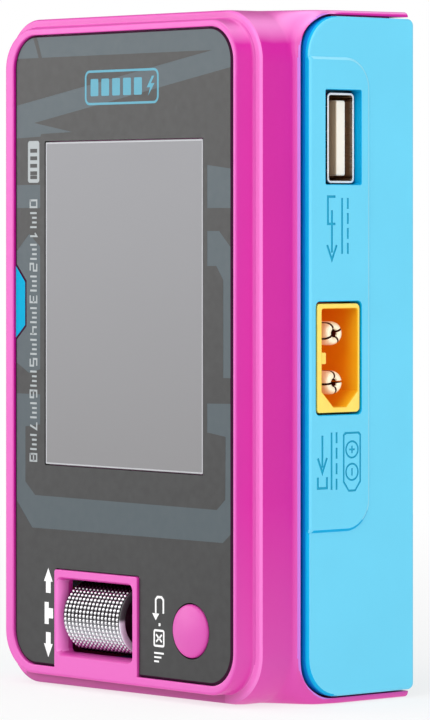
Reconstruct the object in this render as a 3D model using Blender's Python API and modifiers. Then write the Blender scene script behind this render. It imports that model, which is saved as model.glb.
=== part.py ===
# Dual-output balance battery charger, standing upright on its bottom end.
# Frame: +Z up, front panel faces -Y, input and USB side is +X.
# Origin: middle of the bottom face. Every length below is in millimetres;
# the helpers turn them into metres. "Depth" is measured from the front rim
# towards the back, so depth 0 is the rim plane and DEPTH the back face.

import math

import bmesh
import bpy
from mathutils import Matrix, Vector

for old in list(bpy.data.objects):
    bpy.data.objects.remove(old, do_unlink=True)


# ---------------------------------------------------------------------- spans
# A span is a (low, high) pair along one axis.
def around(middle, half):
    return middle - half, middle + half


def across(half):
    return around(0, half)


def grow(span, by):
    """Move both ends of a span outwards, or inwards if by is negative."""
    return span[0] - by, span[1] + by


def centre_of(span):
    return (span[0] + span[1]) / 2


# ----------------------------------------------------------------- dimensions
MM = 0.001                # one millimetre in metres
SMOOTH_ANGLE = math.radians(40)
SIDES = (-1, 1)

HEIGHT = 102.2            # bottom face to top face
DEPTH = 31.6              # front rim plane to back face
HALF_BODY = 28.18         # front shell side wall
HALF_FLANGE = 28.95       # flared edge of the front shell round the side plates
HALF_PLATE = 29.86        # rear shell side plate
HALF_PAD = 30.16          # raised pad on the side plate
BODY_R = 8.0              # outline corner of the front shell

BEZEL_HALF = 26.55        # raised bezel block
BEZEL_Z = (2.05, 100.5)
BEZEL_R = 6.2
BEZEL_DEPTH = 3.1         # rim plane to the ledge behind it

PANEL_HALF = 25.49        # pocket for the overlay
PANEL_Z = (3.12, 99.46)
PANEL_R = 5.2
PANEL_SINK = 0.4          # overlay face below the rim
OVERLAY_T = 0.8
OVERLAY_GAP = 0.15
FRONT_WALL = 2.6          # inner face of the front wall
WALL = 2.0

PLATEAU_D = 10.7          # front edge of the side plates
PLATE_Z = (1.17, 101.16)
PLATE_R = 6.0
PLATE_GAP = 0.3           # front shell clear of the side plates
PLATE_IN = 28.0           # inner face of the side plates
BACK_IN = 29.8            # inner face of the back plate
BACK_GAP = 0.3            # front shell clear of the back plate
FLANGE_END = 30.9         # end of the top and bottom walls

WINDOW_X = (-18.63, 18.47)
WINDOW_Z = (33.75, 83.23)

FRAME_X = (-15.9, 3.72)   # raised frame round the wheel
FRAME_TOP = 18.0
WHEEL_OPEN_X = (-14.58, 2.42)
WHEEL_OPEN_Z = (5.4, 16.5)
WHEEL_R = 5.5
WHEEL_X = (-13.5, 0.25)
WHEEL_Z = 11.0
WHEEL_D = 5.0             # axis depth

KEY_X, KEY_Z = 15.62, 10.76
KEY_R = 3.95
KEY_HOLE_R = 4.15

USB_Z = (76.9, 89.9)
USB_D = (15.1, 20.8)
USB_MOUTH = 28.9
INPUT_Z = (42.9, 58.9)
PORT_D = (12.4, 20.6)
PORT_GAP = 0.3            # side plate openings clear of the connectors
PIN_D = centre_of(PORT_D)
PIN_PITCH = 7.25
PIN_R = 1.75
OUTPUT_Z = ((76.5, 92.5), (16.2, 32.2))
BALANCE_Z = ((55.1, 75.0), (33.7, 53.6))
BALANCE_D = (13.6, 19.4)

FAN_Z = 51.1
FAN_HOLE = 16.0           # half of the 32 mm hole spacing

BOSS_X = 23.2
BOSS_Z = (5.2, 97.0)
FOOT_X = 22.5
FOOT_Z = (17.0, 85.0)

MAIN_D = (10.5, 12.0)     # main board
PARTS_D = (MAIN_D[1] + 0.3, 21.6)   # tall parts behind the main board
CONTROL_D = (15.4, 16.6)  # board behind the wheel and the key

# cutter ends, all clear of the material
OUTSIDE = 35
BEHIND = DEPTH + 8
THROUGH_FRONT = (-1, FRONT_WALL + 1)
THROUGH_OVERLAY = (-2, 4)
THROUGH_BACK = (BACK_IN - 3, DEPTH + 3)
FAN_CUT_D = (15, 40)
AXLE_CUT_X = (-30, 10)

# (x, 0, z) of the holes in the back plate
SCREW_AT = [(side * BOSS_X, 0, z) for side in SIDES for z in BOSS_Z]
FAN_SCREW_AT = [
    (side * FAN_HOLE, 0, FAN_Z + level * FAN_HOLE) for side in SIDES for level in SIDES
]
FOOT_AT = [(side * FOOT_X, 0, z) for side in SIDES for z in FOOT_Z]

# ---------------------------------------------------------------- collections
PARTS = bpy.data.collections.new("balance_charger")
CUTTERS = bpy.data.collections.new("cutters")
for collection in (PARTS, CUTTERS):
    bpy.context.scene.collection.children.link(collection)


# ------------------------------------------------------------------ materials
def srgb(rgb):
    """8-bit sRGB to linear RGBA, by the standard sRGB curve."""
    out = []
    for level in rgb:
        level = level / 255.0
        out.append(level / 12.92 if level <= 0.04045 else ((level + 0.055) / 1.055) ** 2.4)
    return (*out, 1.0)


def material(name, rgb, roughness, metallic=0.0, transmission=0.0):
    mat = bpy.data.materials.new(name)
    mat.use_nodes = True
    inputs = mat.node_tree.nodes["Principled BSDF"].inputs
    inputs["Base Color"].default_value = srgb(rgb)
    inputs["Roughness"].default_value = roughness
    inputs["Metallic"].default_value = metallic
    inputs["Transmission Weight"].default_value = transmission
    mat.diffuse_color = srgb(rgb)
    return mat


PINK = material("magenta_plastic", rgb=(222, 52, 168), roughness=0.35)
BLUE = material("sky_blue_plastic", rgb=(96, 200, 250), roughness=0.45)
OVERLAY = material("grey_overlay", rgb=(88, 88, 88), roughness=0.4)
CLEAR = material("clear_window", rgb=(235, 238, 240), roughness=0.05, transmission=0.9)
LCD_GREY = material("lcd_grey", rgb=(165, 165, 170), roughness=0.3)
WHITE_TRAY = material("white_tray", rgb=(225, 225, 220), roughness=0.5)
RIBBON = material("ribbon_amber", rgb=(190, 120, 40), roughness=0.4)
BOARD = material("board_green", rgb=(20, 90, 50), roughness=0.45)
BLACK = material("black_plastic", rgb=(28, 28, 30), roughness=0.5)
STEEL = material("plated_steel", rgb=(200, 200, 202), roughness=0.25, metallic=1.0)
ZINC = material("zinc_steel", rgb=(150, 152, 156), roughness=0.35, metallic=1.0)
ALU = material("machined_aluminium", rgb=(190, 192, 195), roughness=0.3, metallic=1.0)
GOLD = material("gold_plate", rgb=(225, 180, 90), roughness=0.25, metallic=1.0)
YELLOW = material("yellow_nylon", rgb=(250, 190, 40), roughness=0.45)
IVORY = material("ivory_plastic", rgb=(236, 226, 200), roughness=0.5)
WHITE = material("white_nylon", rgb=(235, 235, 230), roughness=0.5)
FERRITE = material("ferrite_grey", rgb=(70, 70, 74), roughness=0.7)
CAN = material("capacitor_can", rgb=(176, 178, 182), roughness=0.3, metallic=0.9)
COPPER = material("copper_winding", rgb=(190, 100, 50), roughness=0.35, metallic=1.0)
RUBBER = material("black_rubber", rgb=(22, 22, 22), roughness=0.9)


# -------------------------------------------------------------------- helpers
# A shape made without a material is a hidden helper for a boolean.
# Places are (x, depth, z).
def back(depth):
    """World Y, in millimetres, of a depth behind the front rim."""
    return depth - DEPTH / 2.0


def add_object(name, solid, at, mat):
    """Turn a bmesh into an object with its origin at a place."""
    mesh = bpy.data.meshes.new(name)
    solid.to_mesh(mesh)
    solid.free()
    obj = bpy.data.objects.new(name, mesh)
    obj.location = (at[0] * MM, back(at[1]) * MM, at[2] * MM)
    if mat is None:
        obj.hide_render = True
        obj.display_type = "WIRE"
        CUTTERS.objects.link(obj)
    else:
        PARTS.objects.link(obj)
        mesh.materials.append(mat)
    return obj


def place(name, solid, at=(0, 0, 0), mat=None):
    bmesh.ops.recalc_face_normals(solid, faces=solid.faces)
    return add_object(name, solid, at, mat)


def add_box(solid, x, depth, z, origin=(0, 0, 0)):
    """Add a box over three spans; returns its verts."""
    spans = (x, depth, z)
    size = Vector([span[1] - span[0] for span in spans]) * MM
    middle = Vector([centre_of(span) - start for span, start in zip(spans, origin)]) * MM
    matrix = Matrix.Translation(middle) @ Matrix.Diagonal((*size, 1.0))
    return bmesh.ops.create_cube(solid, size=1.0, matrix=matrix)["verts"]


def front_edges(middle):
    return middle.y < 0


def back_edges(middle):
    return middle.y > 0


def bottom_edges(middle):
    return middle.z < 0


def round_edges(solid, verts, axis, radius, segments, keep):
    """Round the box edges parallel to an axis; keep(middle) picks some of them."""
    index = "XYZ".index(axis)
    edges = []
    for edge in {e for v in verts for e in v.link_edges}:
        start, end = (v.co for v in edge.verts)
        step = start - end
        if abs(step[index]) > 0.999 * step.length:
            if keep is None or keep((start + end) / 2):
                edges.append(edge)
    bmesh.ops.bevel(
        solid,
        geom=edges,
        offset=radius * MM,
        segments=segments,
        profile=0.5,
        affect="EDGES",
        clamp_overlap=True,
    )


def block(name, x, depth, z, mat=None, axis=None, radius=0.0, segments=1, keep=None):
    """A box with its origin in its middle, its edges along axis rounded."""
    at = (centre_of(x), centre_of(depth), centre_of(z))
    solid = bmesh.new()
    verts = add_box(solid, x, depth, z, at)
    if axis:
        round_edges(solid, verts, axis, radius, segments, keep)
    return place(name, solid, at, mat)


def blocks(name, boxes):
    """A helper of several (x, depth, z) boxes."""
    solid = bmesh.new()
    for box in boxes:
        add_box(solid, *box)
    return place(name, solid)


# turns local Z onto +X, +Y or +Z
TURN = {
    "X": Matrix.Rotation(math.pi / 2, 4, "Y"),
    "Y": Matrix.Rotation(-math.pi / 2, 4, "X"),
}


def add_rod(solid, axis, radius, span, centre, segments, origin=(0, 0, 0)):
    """Add a cylinder over a span of an axis; centre gives the other two places."""
    at = [place_ - start for place_, start in zip(centre, origin)]
    index = "XYZ".index(axis)
    at[index] = centre_of(span) - origin[index]
    bmesh.ops.create_cone(
        solid,
        cap_ends=True,
        segments=segments,
        radius1=radius * MM,
        radius2=radius * MM,
        depth=(span[1] - span[0]) * MM,
        matrix=Matrix.Translation(Vector(at) * MM) @ TURN[axis],
    )


def rod(name, axis, radius, span, centre, segments, mat=None):
    """A smooth-shaded cylinder with its origin in its middle."""
    at = list(centre)
    at["XYZ".index(axis)] = centre_of(span)
    solid = bmesh.new()
    add_rod(solid, axis, radius, span, centre, segments, at)
    obj = place(name, solid, at, mat)
    obj.data.shade_smooth()
    obj.data.set_sharp_from_angle(angle=SMOOTH_ANGLE)
    return obj


def rods(name, axis, radius, span, centres, segments):
    """A helper of several equal cylinders."""
    solid = bmesh.new()
    for centre in centres:
        add_rod(solid, axis, radius, span, centre, segments)
    return place(name, solid)


def turned(name, profile, at, mat, segments, rotation=TURN["Y"].to_euler()):
    """Spin (radius, height) points about local Z, which points to the back."""
    solid = bmesh.new()
    verts = [solid.verts.new((radius * MM, 0, height * MM)) for radius, height in profile]
    for pair in zip(verts, verts[1:]):
        solid.edges.new(pair)
    obj = add_object(name, solid, at, mat)
    obj.rotation_euler = rotation
    spin = obj.modifiers.new("turn", "SCREW")
    spin.axis = "Z"
    spin.angle = 2 * math.pi
    spin.steps = segments
    spin.render_steps = segments
    spin.use_merge_vertices = True
    spin.merge_threshold = 0.00001
    spin.use_smooth_shade = True
    return obj


def boolean(obj, others, operation):
    for other in others:
        mod = obj.modifiers.new(operation.lower() + "_" + other.name, "BOOLEAN")
        mod.object = other
        mod.operation = operation
        mod.solver = "EXACT"


def cut(obj, *others):
    boolean(obj, others, "DIFFERENCE")


def join(obj, *others):
    boolean(obj, others, "UNION")


# --------------------------------------------------------------------- shells
def front_shell():
    shell = block(
        "front_shell", across(HALF_BODY), (BEZEL_DEPTH, PLATEAU_D - PLATE_GAP), (0, HEIGHT),
        PINK, axis="Y", radius=BODY_R, segments=6,
    )
    shape_front_shell(shell)
    add_inner_walls(shell)
    add_bosses(shell)
    open_front_shell(shell)


def shape_front_shell(shell):
    """Bezel, flange, overlay pocket and wheel frame, then the hollow."""
    join(
        shell,
        block("bezel_block", across(BEZEL_HALF), (0, BEZEL_DEPTH + 1.0), BEZEL_Z,
              axis="Y", radius=BEZEL_R, segments=6),
        block("rear_flange", across(HALF_FLANGE), (PLATEAU_D - 1.15, FLANGE_END), (0, HEIGHT),
              axis="Y", radius=1.0, segments=2),
    )
    pocket_floor = PANEL_SINK + OVERLAY_T + 0.3
    cut(shell, block("overlay_pocket", across(PANEL_HALF), (-2, pocket_floor), PANEL_Z,
                     axis="Y", radius=PANEL_R, segments=6))
    join(shell, block("wheel_frame", FRAME_X, (0, FRONT_WALL + 0.2),
                      (BEZEL_Z[0] + 0.5, FRAME_TOP)))
    cut(
        shell,
        block("shell_hollow", across(HALF_BODY - WALL), (FRONT_WALL, BEHIND),
              (WALL, HEIGHT - WALL), axis="Y", radius=BODY_R - WALL, segments=6),
        # the side plates of the rear shell sit in these side cut-outs
        block("plate_room", across(40), (PLATEAU_D - PLATE_GAP, BEHIND),
              grow(PLATE_Z, PLATE_GAP), axis="X", radius=PLATE_R + PLATE_GAP, segments=5,
              keep=front_edges),
    )


def add_inner_walls(shell):
    """Inner layers of the bottom and top walls, put back between the side plates."""
    overlap = 0.4    # outer side of the layer, inside the outer wall
    depth = (PLATEAU_D - 1.0, BACK_IN - BACK_GAP)
    for tag, z in (("bottom", (overlap, WALL)), ("top", (HEIGHT - WALL, HEIGHT - overlap))):
        join(shell, block("wall_" + tag, across(PLATE_IN - 0.6), depth, z))


def add_bosses(shell):
    """Four corner bosses for the case screws."""
    boss_r, bore_r, bore_start = 2.2, 1.3, 14.0
    places = [(side * BOSS_X, 0, z) for z in BOSS_Z for side in SIDES]
    for i, at in enumerate(places):
        join(shell, rod("boss_%d" % i, "Y", boss_r,
                        (FRONT_WALL - 0.4, BACK_IN - BACK_GAP), at, segments=20))
    cut(shell, rods("boss_bores", "Y", bore_r, (bore_start, BEHIND), SCREW_AT, segments=16))


def open_front_shell(shell):
    """Display, wheel and key openings, and the vents in both ends."""
    lip = 0.9        # ledge behind the window's edge
    key_r = 4.3
    vent_pitch, vent_half, vent_depth = 5.0, 1.1, (14.0, 26.0)
    vent_x = [vent_pitch / 2 + vent_pitch * i for i in range(-3, 3)]
    cut(
        shell,
        block("lcd_aperture", grow(WINDOW_X, -lip), THROUGH_FRONT, grow(WINDOW_Z, -lip)),
        blocks("wheel_opening", [(WHEEL_OPEN_X, THROUGH_FRONT, WHEEL_OPEN_Z)]),
        rod("key_opening", "Y", key_r, THROUGH_FRONT, (KEY_X, 0, KEY_Z), segments=32),
        blocks("vents", [(around(x, vent_half), vent_depth, (-2, HEIGHT + 2)) for x in vent_x]),
    )


def rear_shell():
    """Back plate with two side plates."""
    shell = block(
        "rear_shell", across(HALF_PLATE), (PLATEAU_D, DEPTH), PLATE_Z,
        BLUE, axis="X", radius=PLATE_R, segments=5, keep=front_edges,
    )
    pad_top = 95.1
    for name, side, pad_bottom in (("pad_2", 1, 25.4), ("pad_0", -1, 12.0)):
        x = sorted((side * (PLATE_IN + 0.5), side * HALF_PAD))
        join(shell, block(name, x, (PLATEAU_D + 0.4, 22.9), (pad_bottom, pad_top),
                          axis="X", radius=4.6, segments=4, keep=back_edges))
    cut(
        shell,
        block("channel", across(PLATE_IN), (-5, BACK_IN), (-5, HEIGHT + 5)),
        port_openings(),
        grille(),
        rods("screw_bores", "Y", 1.4, THROUGH_BACK, SCREW_AT + FAN_SCREW_AT, segments=16),
        rods("screw_seats", "Y", 2.7, (DEPTH - 1.0, DEPTH + 3), SCREW_AT + FAN_SCREW_AT,
             segments=20),
        rods("foot_seats", "Y", 4.0, (DEPTH - 0.5, DEPTH + 3), FOOT_AT, segments=24),
    )


def port_openings():
    right = (HALF_BODY - 4, OUTSIDE)
    left = (-OUTSIDE, -HALF_BODY + 4)
    port_depth = grow(PORT_D, PORT_GAP)
    boxes = [
        (right, (USB_D[0] - 1.1, USB_D[1] + 0.3), (USB_Z[0] - 0.5, USB_Z[1] + 0.4)),
        (right, port_depth, grow(INPUT_Z, PORT_GAP)),
    ]
    boxes += [(left, port_depth, grow(z, PORT_GAP)) for z in OUTPUT_Z]
    boxes += [(left, grow(BALANCE_D, PORT_GAP), grow(z, PORT_GAP)) for z in BALANCE_Z]
    return blocks("ports", boxes)


def grille():
    """Rows of slots inside a circle round the fan axis, split by a middle bar."""
    pitch, slot_half, grille_r, bar_half = 4.0, 1.1, 18.2, 0.9
    slots = []
    for i in range(-4, 5):
        far = abs(i) * pitch + slot_half
        reach = math.sqrt(grille_r ** 2 - far ** 2)
        z = around(FAN_Z + i * pitch, slot_half)
        slots.append(((-reach, -bar_half), THROUGH_BACK, z))
        slots.append(((bar_half, reach), THROUGH_BACK, z))
    return blocks("grille", slots)


# ------------------------------------------------------- overlay, window, LCD
def front_panel():
    panel = block(
        "front_panel", across(PANEL_HALF - OVERLAY_GAP), (PANEL_SINK, PANEL_SINK + OVERLAY_T),
        grow(PANEL_Z, -OVERLAY_GAP), OVERLAY,
        axis="Y", radius=PANEL_R - OVERLAY_GAP, segments=6,
    )
    cut(
        panel,
        block("window_cut", WINDOW_X, THROUGH_OVERLAY, WINDOW_Z),
        block("frame_notch", grow(FRAME_X, OVERLAY_GAP), THROUGH_OVERLAY,
              (-2, FRAME_TOP + OVERLAY_GAP)),
        rod("key_cut", "Y", KEY_HOLE_R, THROUGH_OVERLAY, (KEY_X, 0, KEY_Z), segments=32),
    )


def display():
    """Clear window, display panel and the tray that holds it."""
    lcd_z = (28.9, 89.1)
    block("display_window", grow(WINDOW_X, -OVERLAY_GAP),
          (PANEL_SINK + 0.05, PANEL_SINK + OVERLAY_T), grow(WINDOW_Z, -OVERLAY_GAP), CLEAR)
    block("lcd_panel", across(21.3), (3.0, 4.3), lcd_z, LCD_GREY)
    frame = block("lcd_frame", across(22.2), (2.9, 6.6), grow(lcd_z, 0.9), WHITE_TRAY)
    cut(frame, block("lcd_tray", across(21.6), (0, 4.6), grow(lcd_z, 0.3)))


def lcd_ribbon():
    """Flat cable: down from the display, round the board's lower edge and up again."""
    half_width, thickness = 8, 0.25
    bend_d, bend_z, bend_r, bend_steps = 7.6, 23.4, 2.0, 8
    front_top, back_top = 27.6, 27.0
    origin_z = 24
    path = [(bend_d - bend_r, front_top)]    # (depth, z)
    for k in range(bend_steps + 1):
        angle = math.pi * k / bend_steps
        path.append((bend_d - bend_r * math.cos(angle), bend_z - bend_r * math.sin(angle)))
    path.append((bend_d + bend_r, back_top))
    solid = bmesh.new()
    rows = [
        [solid.verts.new((x * MM, (depth - bend_d) * MM, (z - origin_z) * MM))
         for x in across(half_width)]
        for depth, z in path
    ]
    for row, following in zip(rows, rows[1:]):
        solid.faces.new((row[0], row[1], following[1], following[0]))
    ribbon = place("lcd_ribbon", solid, (0, bend_d, origin_z), RIBBON)
    skin = ribbon.modifiers.new("skin", "SOLIDIFY")
    skin.thickness = thickness * MM
    skin.offset = 0.0
    ribbon.data.shade_smooth()


# --------------------------------------------------------------------- boards
def holed_board(name, half_width, depth, z, hole_x, hole_z, drill):
    """A board with a hole near each corner; drill is the depth span of the cutter."""
    board = block(name, across(half_width), depth, z, BOARD)
    centres = [(side * hole_x, 0, height) for side in SIDES for height in hole_z]
    cut(board, rods(name + "_holes", "Y", 1.2, drill, centres, segments=12))


def boards():
    holed_board("display_board", 24, (6.9, 8.1), (24.0, 93.8),
                hole_x=22.0, hole_z=(26.0, 91.8), drill=(5, 10))
    block("microcontroller", (-9.0, 1.0), (8.4, 9.6), (58.0, 68.0), BLACK)
    block("board_header", across(11.0), (8.4, 10.2), (31.0, 34.4), BLACK)
    holed_board("main_board", 25.6, MAIN_D, (20.5, 93.6),
                hole_x=23.6, hole_z=(22.6, 91.6), drill=(9, 14))
    block("control_board", (-13.7, 20.2), CONTROL_D, (2.6, 17.8), BOARD)


# ------------------------------------------------------------- USB power port
def usb_port():
    metal = 0.4
    shell = block("usb_shell", (14.9, USB_MOUTH), USB_D, USB_Z, STEEL,
                  axis="X", radius=0.6, segments=2)
    cut(shell, block("usb_hollow", (10, OUTSIDE), grow(USB_D, -metal), grow(USB_Z, -metal)))
    leg_t = 0.35
    leg_depth = (PARTS_D[0], USB_D[0] + 1.4)
    join(shell, blocks("usb_legs", [
        (x, leg_depth, z)
        for x in ((16.5, 18.5), (24.0, 26.0))
        for z in ((USB_Z[0], USB_Z[0] + leg_t), (USB_Z[1] - leg_t, USB_Z[1]))
    ]))
    tongue = block("usb_tongue", (17.0, USB_MOUTH - 0.4), (17.4, 19.3), (78.0, 88.8), IVORY,
                   axis="X", radius=0.4, segments=1)
    join(tongue, block("usb_base", (15.2, 17.4), (15.8, 20.1), (77.6, 89.2)))


# ------------------------------------------------------------- DC power ports
def tagged_pins(z):
    """(tag, height) of the upper and lower pin of a connector."""
    middle = centre_of(z)
    return (("pos", middle + PIN_PITCH / 2), ("neg", middle - PIN_PITCH / 2))


def pin_centres(z):
    return [(0, PIN_D, height) for _, height in tagged_pins(z)]


def input_port():
    """Male connector on the +X side with two cross-split pins."""
    housing = block("input_connector", (14.2, 30.1), PORT_D, INPUT_Z, YELLOW,
                    axis="X", radius=0.5, segments=1)
    cut(
        housing,
        block("input_cavity", (20.0, OUTSIDE), grow(PORT_D, -1.0), grow(INPUT_Z, -0.9),
              axis="X", radius=2.3, segments=1, keep=bottom_edges),
        rods("input_pin_holes", "X", PIN_R + 0.3, (10, 21), pin_centres(INPUT_Z), segments=20),
    )
    split_x = (22.5, OUTSIDE)
    narrow, wide = 0.2, 3    # half sizes of a split cutter
    for tag, z in tagged_pins(INPUT_Z):
        pin = rod("input_pin_" + tag, "X", PIN_R, (12.6, 29.45), (0, PIN_D, z), 20, GOLD)
        cut(
            pin,
            blocks("input_split_" + tag, [(split_x, around(PIN_D, narrow), around(z, wide))]),
            blocks("input_cross_" + tag, [(split_x, around(PIN_D, wide), around(z, narrow))]),
        )


def output_port(number, z):
    """Female connector on the -X side with two bored sockets."""
    hole_r, socket_r, bore_r = 2.55, 2.25, 1.8
    housing = block("output_connector_%d" % number, (-30.1, -14.2), PORT_D, z, YELLOW,
                    axis="X", radius=2.2, segments=1, keep=bottom_edges)
    cut(housing, rods("output_holes_%d" % number, "X", hole_r, (-OUTSIDE, -10),
                      pin_centres(z), segments=20))
    for tag, height in tagged_pins(z):
        at = (0, PIN_D, height)
        socket = rod("output_socket_%d_%s" % (number, tag), "X", socket_r, (-29.3, -12.6),
                     at, 20, GOLD)
        cut(socket, rod("output_bore_%d_%s" % (number, tag), "X", bore_r, (-OUTSIDE, -18.0),
                        at, segments=20))


# ------------------------------------------------------------ balance sockets
def balance_socket(number, z):
    """Open housing on the -X side with a row of square pins."""
    wall = 0.8
    notch_offset, notch_half = 6.2, 0.8
    pin_count, pitch, pin_half = 7, 2.5, 0.32
    middle, middle_d = centre_of(z), centre_of(BALANCE_D)

    housing = block("balance_socket_%d" % number, (-29.9, -19.6), BALANCE_D, z, WHITE)
    notches = [
        ((-OUTSIDE, -23.0), (BALANCE_D[1] - 1.5, BALANCE_D[1] + 1),
         around(middle + side * notch_offset, notch_half))
        for side in SIDES
    ]
    floor_slot = ((-23, -15), around(middle_d, 0.7), grow(z, -1.3))
    cut(
        housing,
        block("balance_cavity_%d" % number, (-OUTSIDE, -21.4), grow(BALANCE_D, -wall),
              grow(z, -wall)),
        blocks("balance_slots_%d" % number, notches + [floor_slot]),
    )

    # one strip ties the pins together in the floor slot
    strip = block("balance_pins_%d" % number, (-21.2, -19.9), around(middle_d, 0.4),
                  grow(z, -1.6), GOLD)
    first = middle - pitch * (pin_count - 1) / 2
    join(strip, blocks("balance_pin_row_%d" % number, [
        ((-27.5, -18.4), around(middle_d, pin_half), around(first + k * pitch, pin_half))
        for k in range(pin_count)
    ]))


# ----------------------------------------------------- parts behind the boards
def inductors():
    for number, z in enumerate(((59.0, 70.0), (34.0, 45.0)), 1):
        block("inductor_%d" % number, (-11.6, -0.6), PARTS_D, z, FERRITE,
              axis="Y", radius=1.5, segments=2)


def capacitors():
    # (radius, height), back end first, with a groove near the board
    profile = [
        (0, 12.0), (3.6, 12.0), (4.0, 11.6), (4.0, 1.6),
        (3.7, 1.2), (4.0, 0.8), (4.0, 0), (0, 0),
    ]
    for number, (x, z) in enumerate(((-7.5, 84.0), (2.5, 84.0), (2.5, 25.4)), 1):
        turned("capacitor_%d" % number, profile, (x, PARTS_D[0], z), CAN, segments=24)


def heatsink():
    gap, pitch, first_gap = 1.0, 2.2, 1.4
    sink = block("heatsink", (0.2, 11.4), PARTS_D, (34.0, 70.0), ALU)
    starts = [first_gap + pitch * k for k in range(4)]
    cut(sink, blocks("fin_gaps", [((x, x + gap), (14.3, 25), (30, 74)) for x in starts]))


def buzzer():
    rod("buzzer", "Y", 4.4, (16.9, PARTS_D[1]), (-4.0, 0, 11.0), 24, BLACK)


# ------------------------------------------------------------------------ fan
FAN_HALF = 20.0
FAN_D = (22.5, 29.5)
FAN_BORE_R = 18.9
SHAFT_BORE_R = 0.85


def fan_rod(name, radius, depth, segments, mat=None):
    """A cylinder on the fan axis."""
    return rod(name, "Y", radius, depth, (0, 0, FAN_Z), segments, mat)


def fan_frame():
    """Square frame with crossed struts behind, carrying the bearing tube."""
    frame = block("fan_frame", across(FAN_HALF), FAN_D, around(FAN_Z, FAN_HALF), BLACK,
                  axis="Y", radius=3.0, segments=3)
    cut(
        frame,
        fan_rod("fan_bore", FAN_BORE_R, FAN_CUT_D, 40),
        rods("fan_holes", "Y", 1.6, FAN_CUT_D, FAN_SCREW_AT, segments=14),
    )
    strut_half, strut_reach = 1.0, FAN_BORE_R + 0.5
    join(
        frame,
        blocks("fan_strut", [(across(strut_reach), (28.3, 29.5), around(FAN_Z, strut_half))]),
        blocks("fan_strut_2", [
            (across(strut_half), (28.25, 29.45), around(FAN_Z, strut_reach)),
        ]),
        fan_rod("fan_hub_plate", 8.8, (28.2, 29.4), 28),
        fan_rod("fan_bearing_tube", 2.2, (24.4, 28.6), 20),
    )
    cut(frame, fan_rod("fan_bearing_bore", SHAFT_BORE_R, (20, 28.6), 20))


def fan_stator():
    stator = fan_rod("fan_stator", 7.5, (24.6, 27.8), 28, COPPER)
    cut(stator, fan_rod("fan_stator_bore", 2.5, (20, 30), 20))


def fan_blades():
    """Flat pitched blades round the fan axis."""
    count, inner_r, outer_r = 7, 8.3, 18.2
    chord, thickness, pitch = 6.0, 0.7, math.radians(42)
    centre = Vector(((inner_r + outer_r) / 2, 0, 0)) * MM
    size = Vector((outer_r - inner_r, thickness, chord)) * MM
    solid = bmesh.new()
    for k in range(count):
        bmesh.ops.create_cube(
            solid,
            size=1.0,
            matrix=Matrix.Rotation(2 * math.pi * k / count, 4, "Y")
            @ Matrix.Translation(centre)
            @ Matrix.Rotation(pitch, 4, "X")
            @ Matrix.Diagonal((*size, 1.0)),
        )
    return place("fan_blades", solid, (0, 25.3, FAN_Z))


def fan_impeller():
    """Cup, open to the back, with blades, and the shaft it turns on."""
    impeller = fan_rod("fan_impeller", 9.0, (22.8, 27.8), 28, BLACK)
    join(impeller, fan_blades())
    cut(
        impeller,
        fan_rod("fan_cup_hollow", 8.2, (23.8, 32), 28),
        fan_rod("fan_cup_hole", SHAFT_BORE_R, (20, 26), 16),
    )
    fan_rod("fan_shaft", 0.75, (22.9, 28.3), 20, ZINC)


# --------------------------------------------------------------- screws, feet
def screw(name, at, tip):
    """A pan head with a cross recess on a plain shank; tip is its front depth."""
    shank_r, head_r, head_under = 1.0, 2.35, DEPTH - 0.72
    x, _, z = at
    # (radius, depth), head first
    profile = [
        (0, DEPTH - 0.15), (1.7, DEPTH - 0.2), (head_r, DEPTH - 0.55), (head_r, head_under),
        (shank_r, head_under), (shank_r, tip + 0.8), (0.3, tip), (0, tip),
    ]
    body = turned(name, profile, at, ZINC, segments=16)
    recess = (DEPTH - 0.5, DEPTH + 2)
    long_half, short_half = 1.2, 0.25
    cut(
        body,
        blocks(name + "_cross", [(around(x, long_half), recess, around(z, short_half))]),
        blocks(name + "_cross_2", [(around(x, short_half), recess, around(z, long_half))]),
    )


def screws():
    for number, at in enumerate(SCREW_AT, 1):
        screw("case_screw_%d" % number, at, tip=18.0)
    for number, at in enumerate(FAN_SCREW_AT, 1):
        screw("fan_screw_%d" % number, at, tip=24.5)


def feet():
    # (radius, height), back end first
    profile = [(0, 1.05), (3.2, 1.05), (3.7, 0.6), (3.7, 0), (0, 0)]
    for number, (x, _, z) in enumerate(FOOT_AT, 1):
        turned("foot_%d" % number, profile, (x, DEPTH - 0.25, z), RUBBER, segments=24)


# --------------------------------------------------------------- scroll wheel
def wheel_rod(name, radius, x, segments, mat=None):
    """A cylinder on the wheel axis."""
    return rod(name, "X", radius, x, (0, WHEEL_D, WHEEL_Z), segments, mat)


def scroll_wheel():
    """Sleeve, hub and axle, hung on an empty on the wheel axis."""
    axis = bpy.data.objects.new("wheel_axis", None)
    axis.location = (0, back(WHEEL_D) * MM, WHEEL_Z * MM)
    PARTS.objects.link(axis)

    bore_x = (-20, 10)
    sleeve = wheel_rod("wheel_sleeve", WHEEL_R, WHEEL_X, 36, ALU)
    cut(sleeve, wheel_rod("sleeve_bore", 4.2, bore_x, 28))
    hub = wheel_rod("wheel_hub", 3.9, (WHEEL_X[0] + 0.3, WHEEL_X[1] - 1.3), 24, BLACK)
    cut(hub, wheel_rod("hub_bore", 1.3, bore_x, 20))
    axle = wheel_rod("wheel_axle", 1.0, (-19.4, 2.2), 24, STEEL)
    for piece in (sleeve, hub, axle):
        piece.parent = axis
        piece.location = piece.location - axis.location


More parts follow.
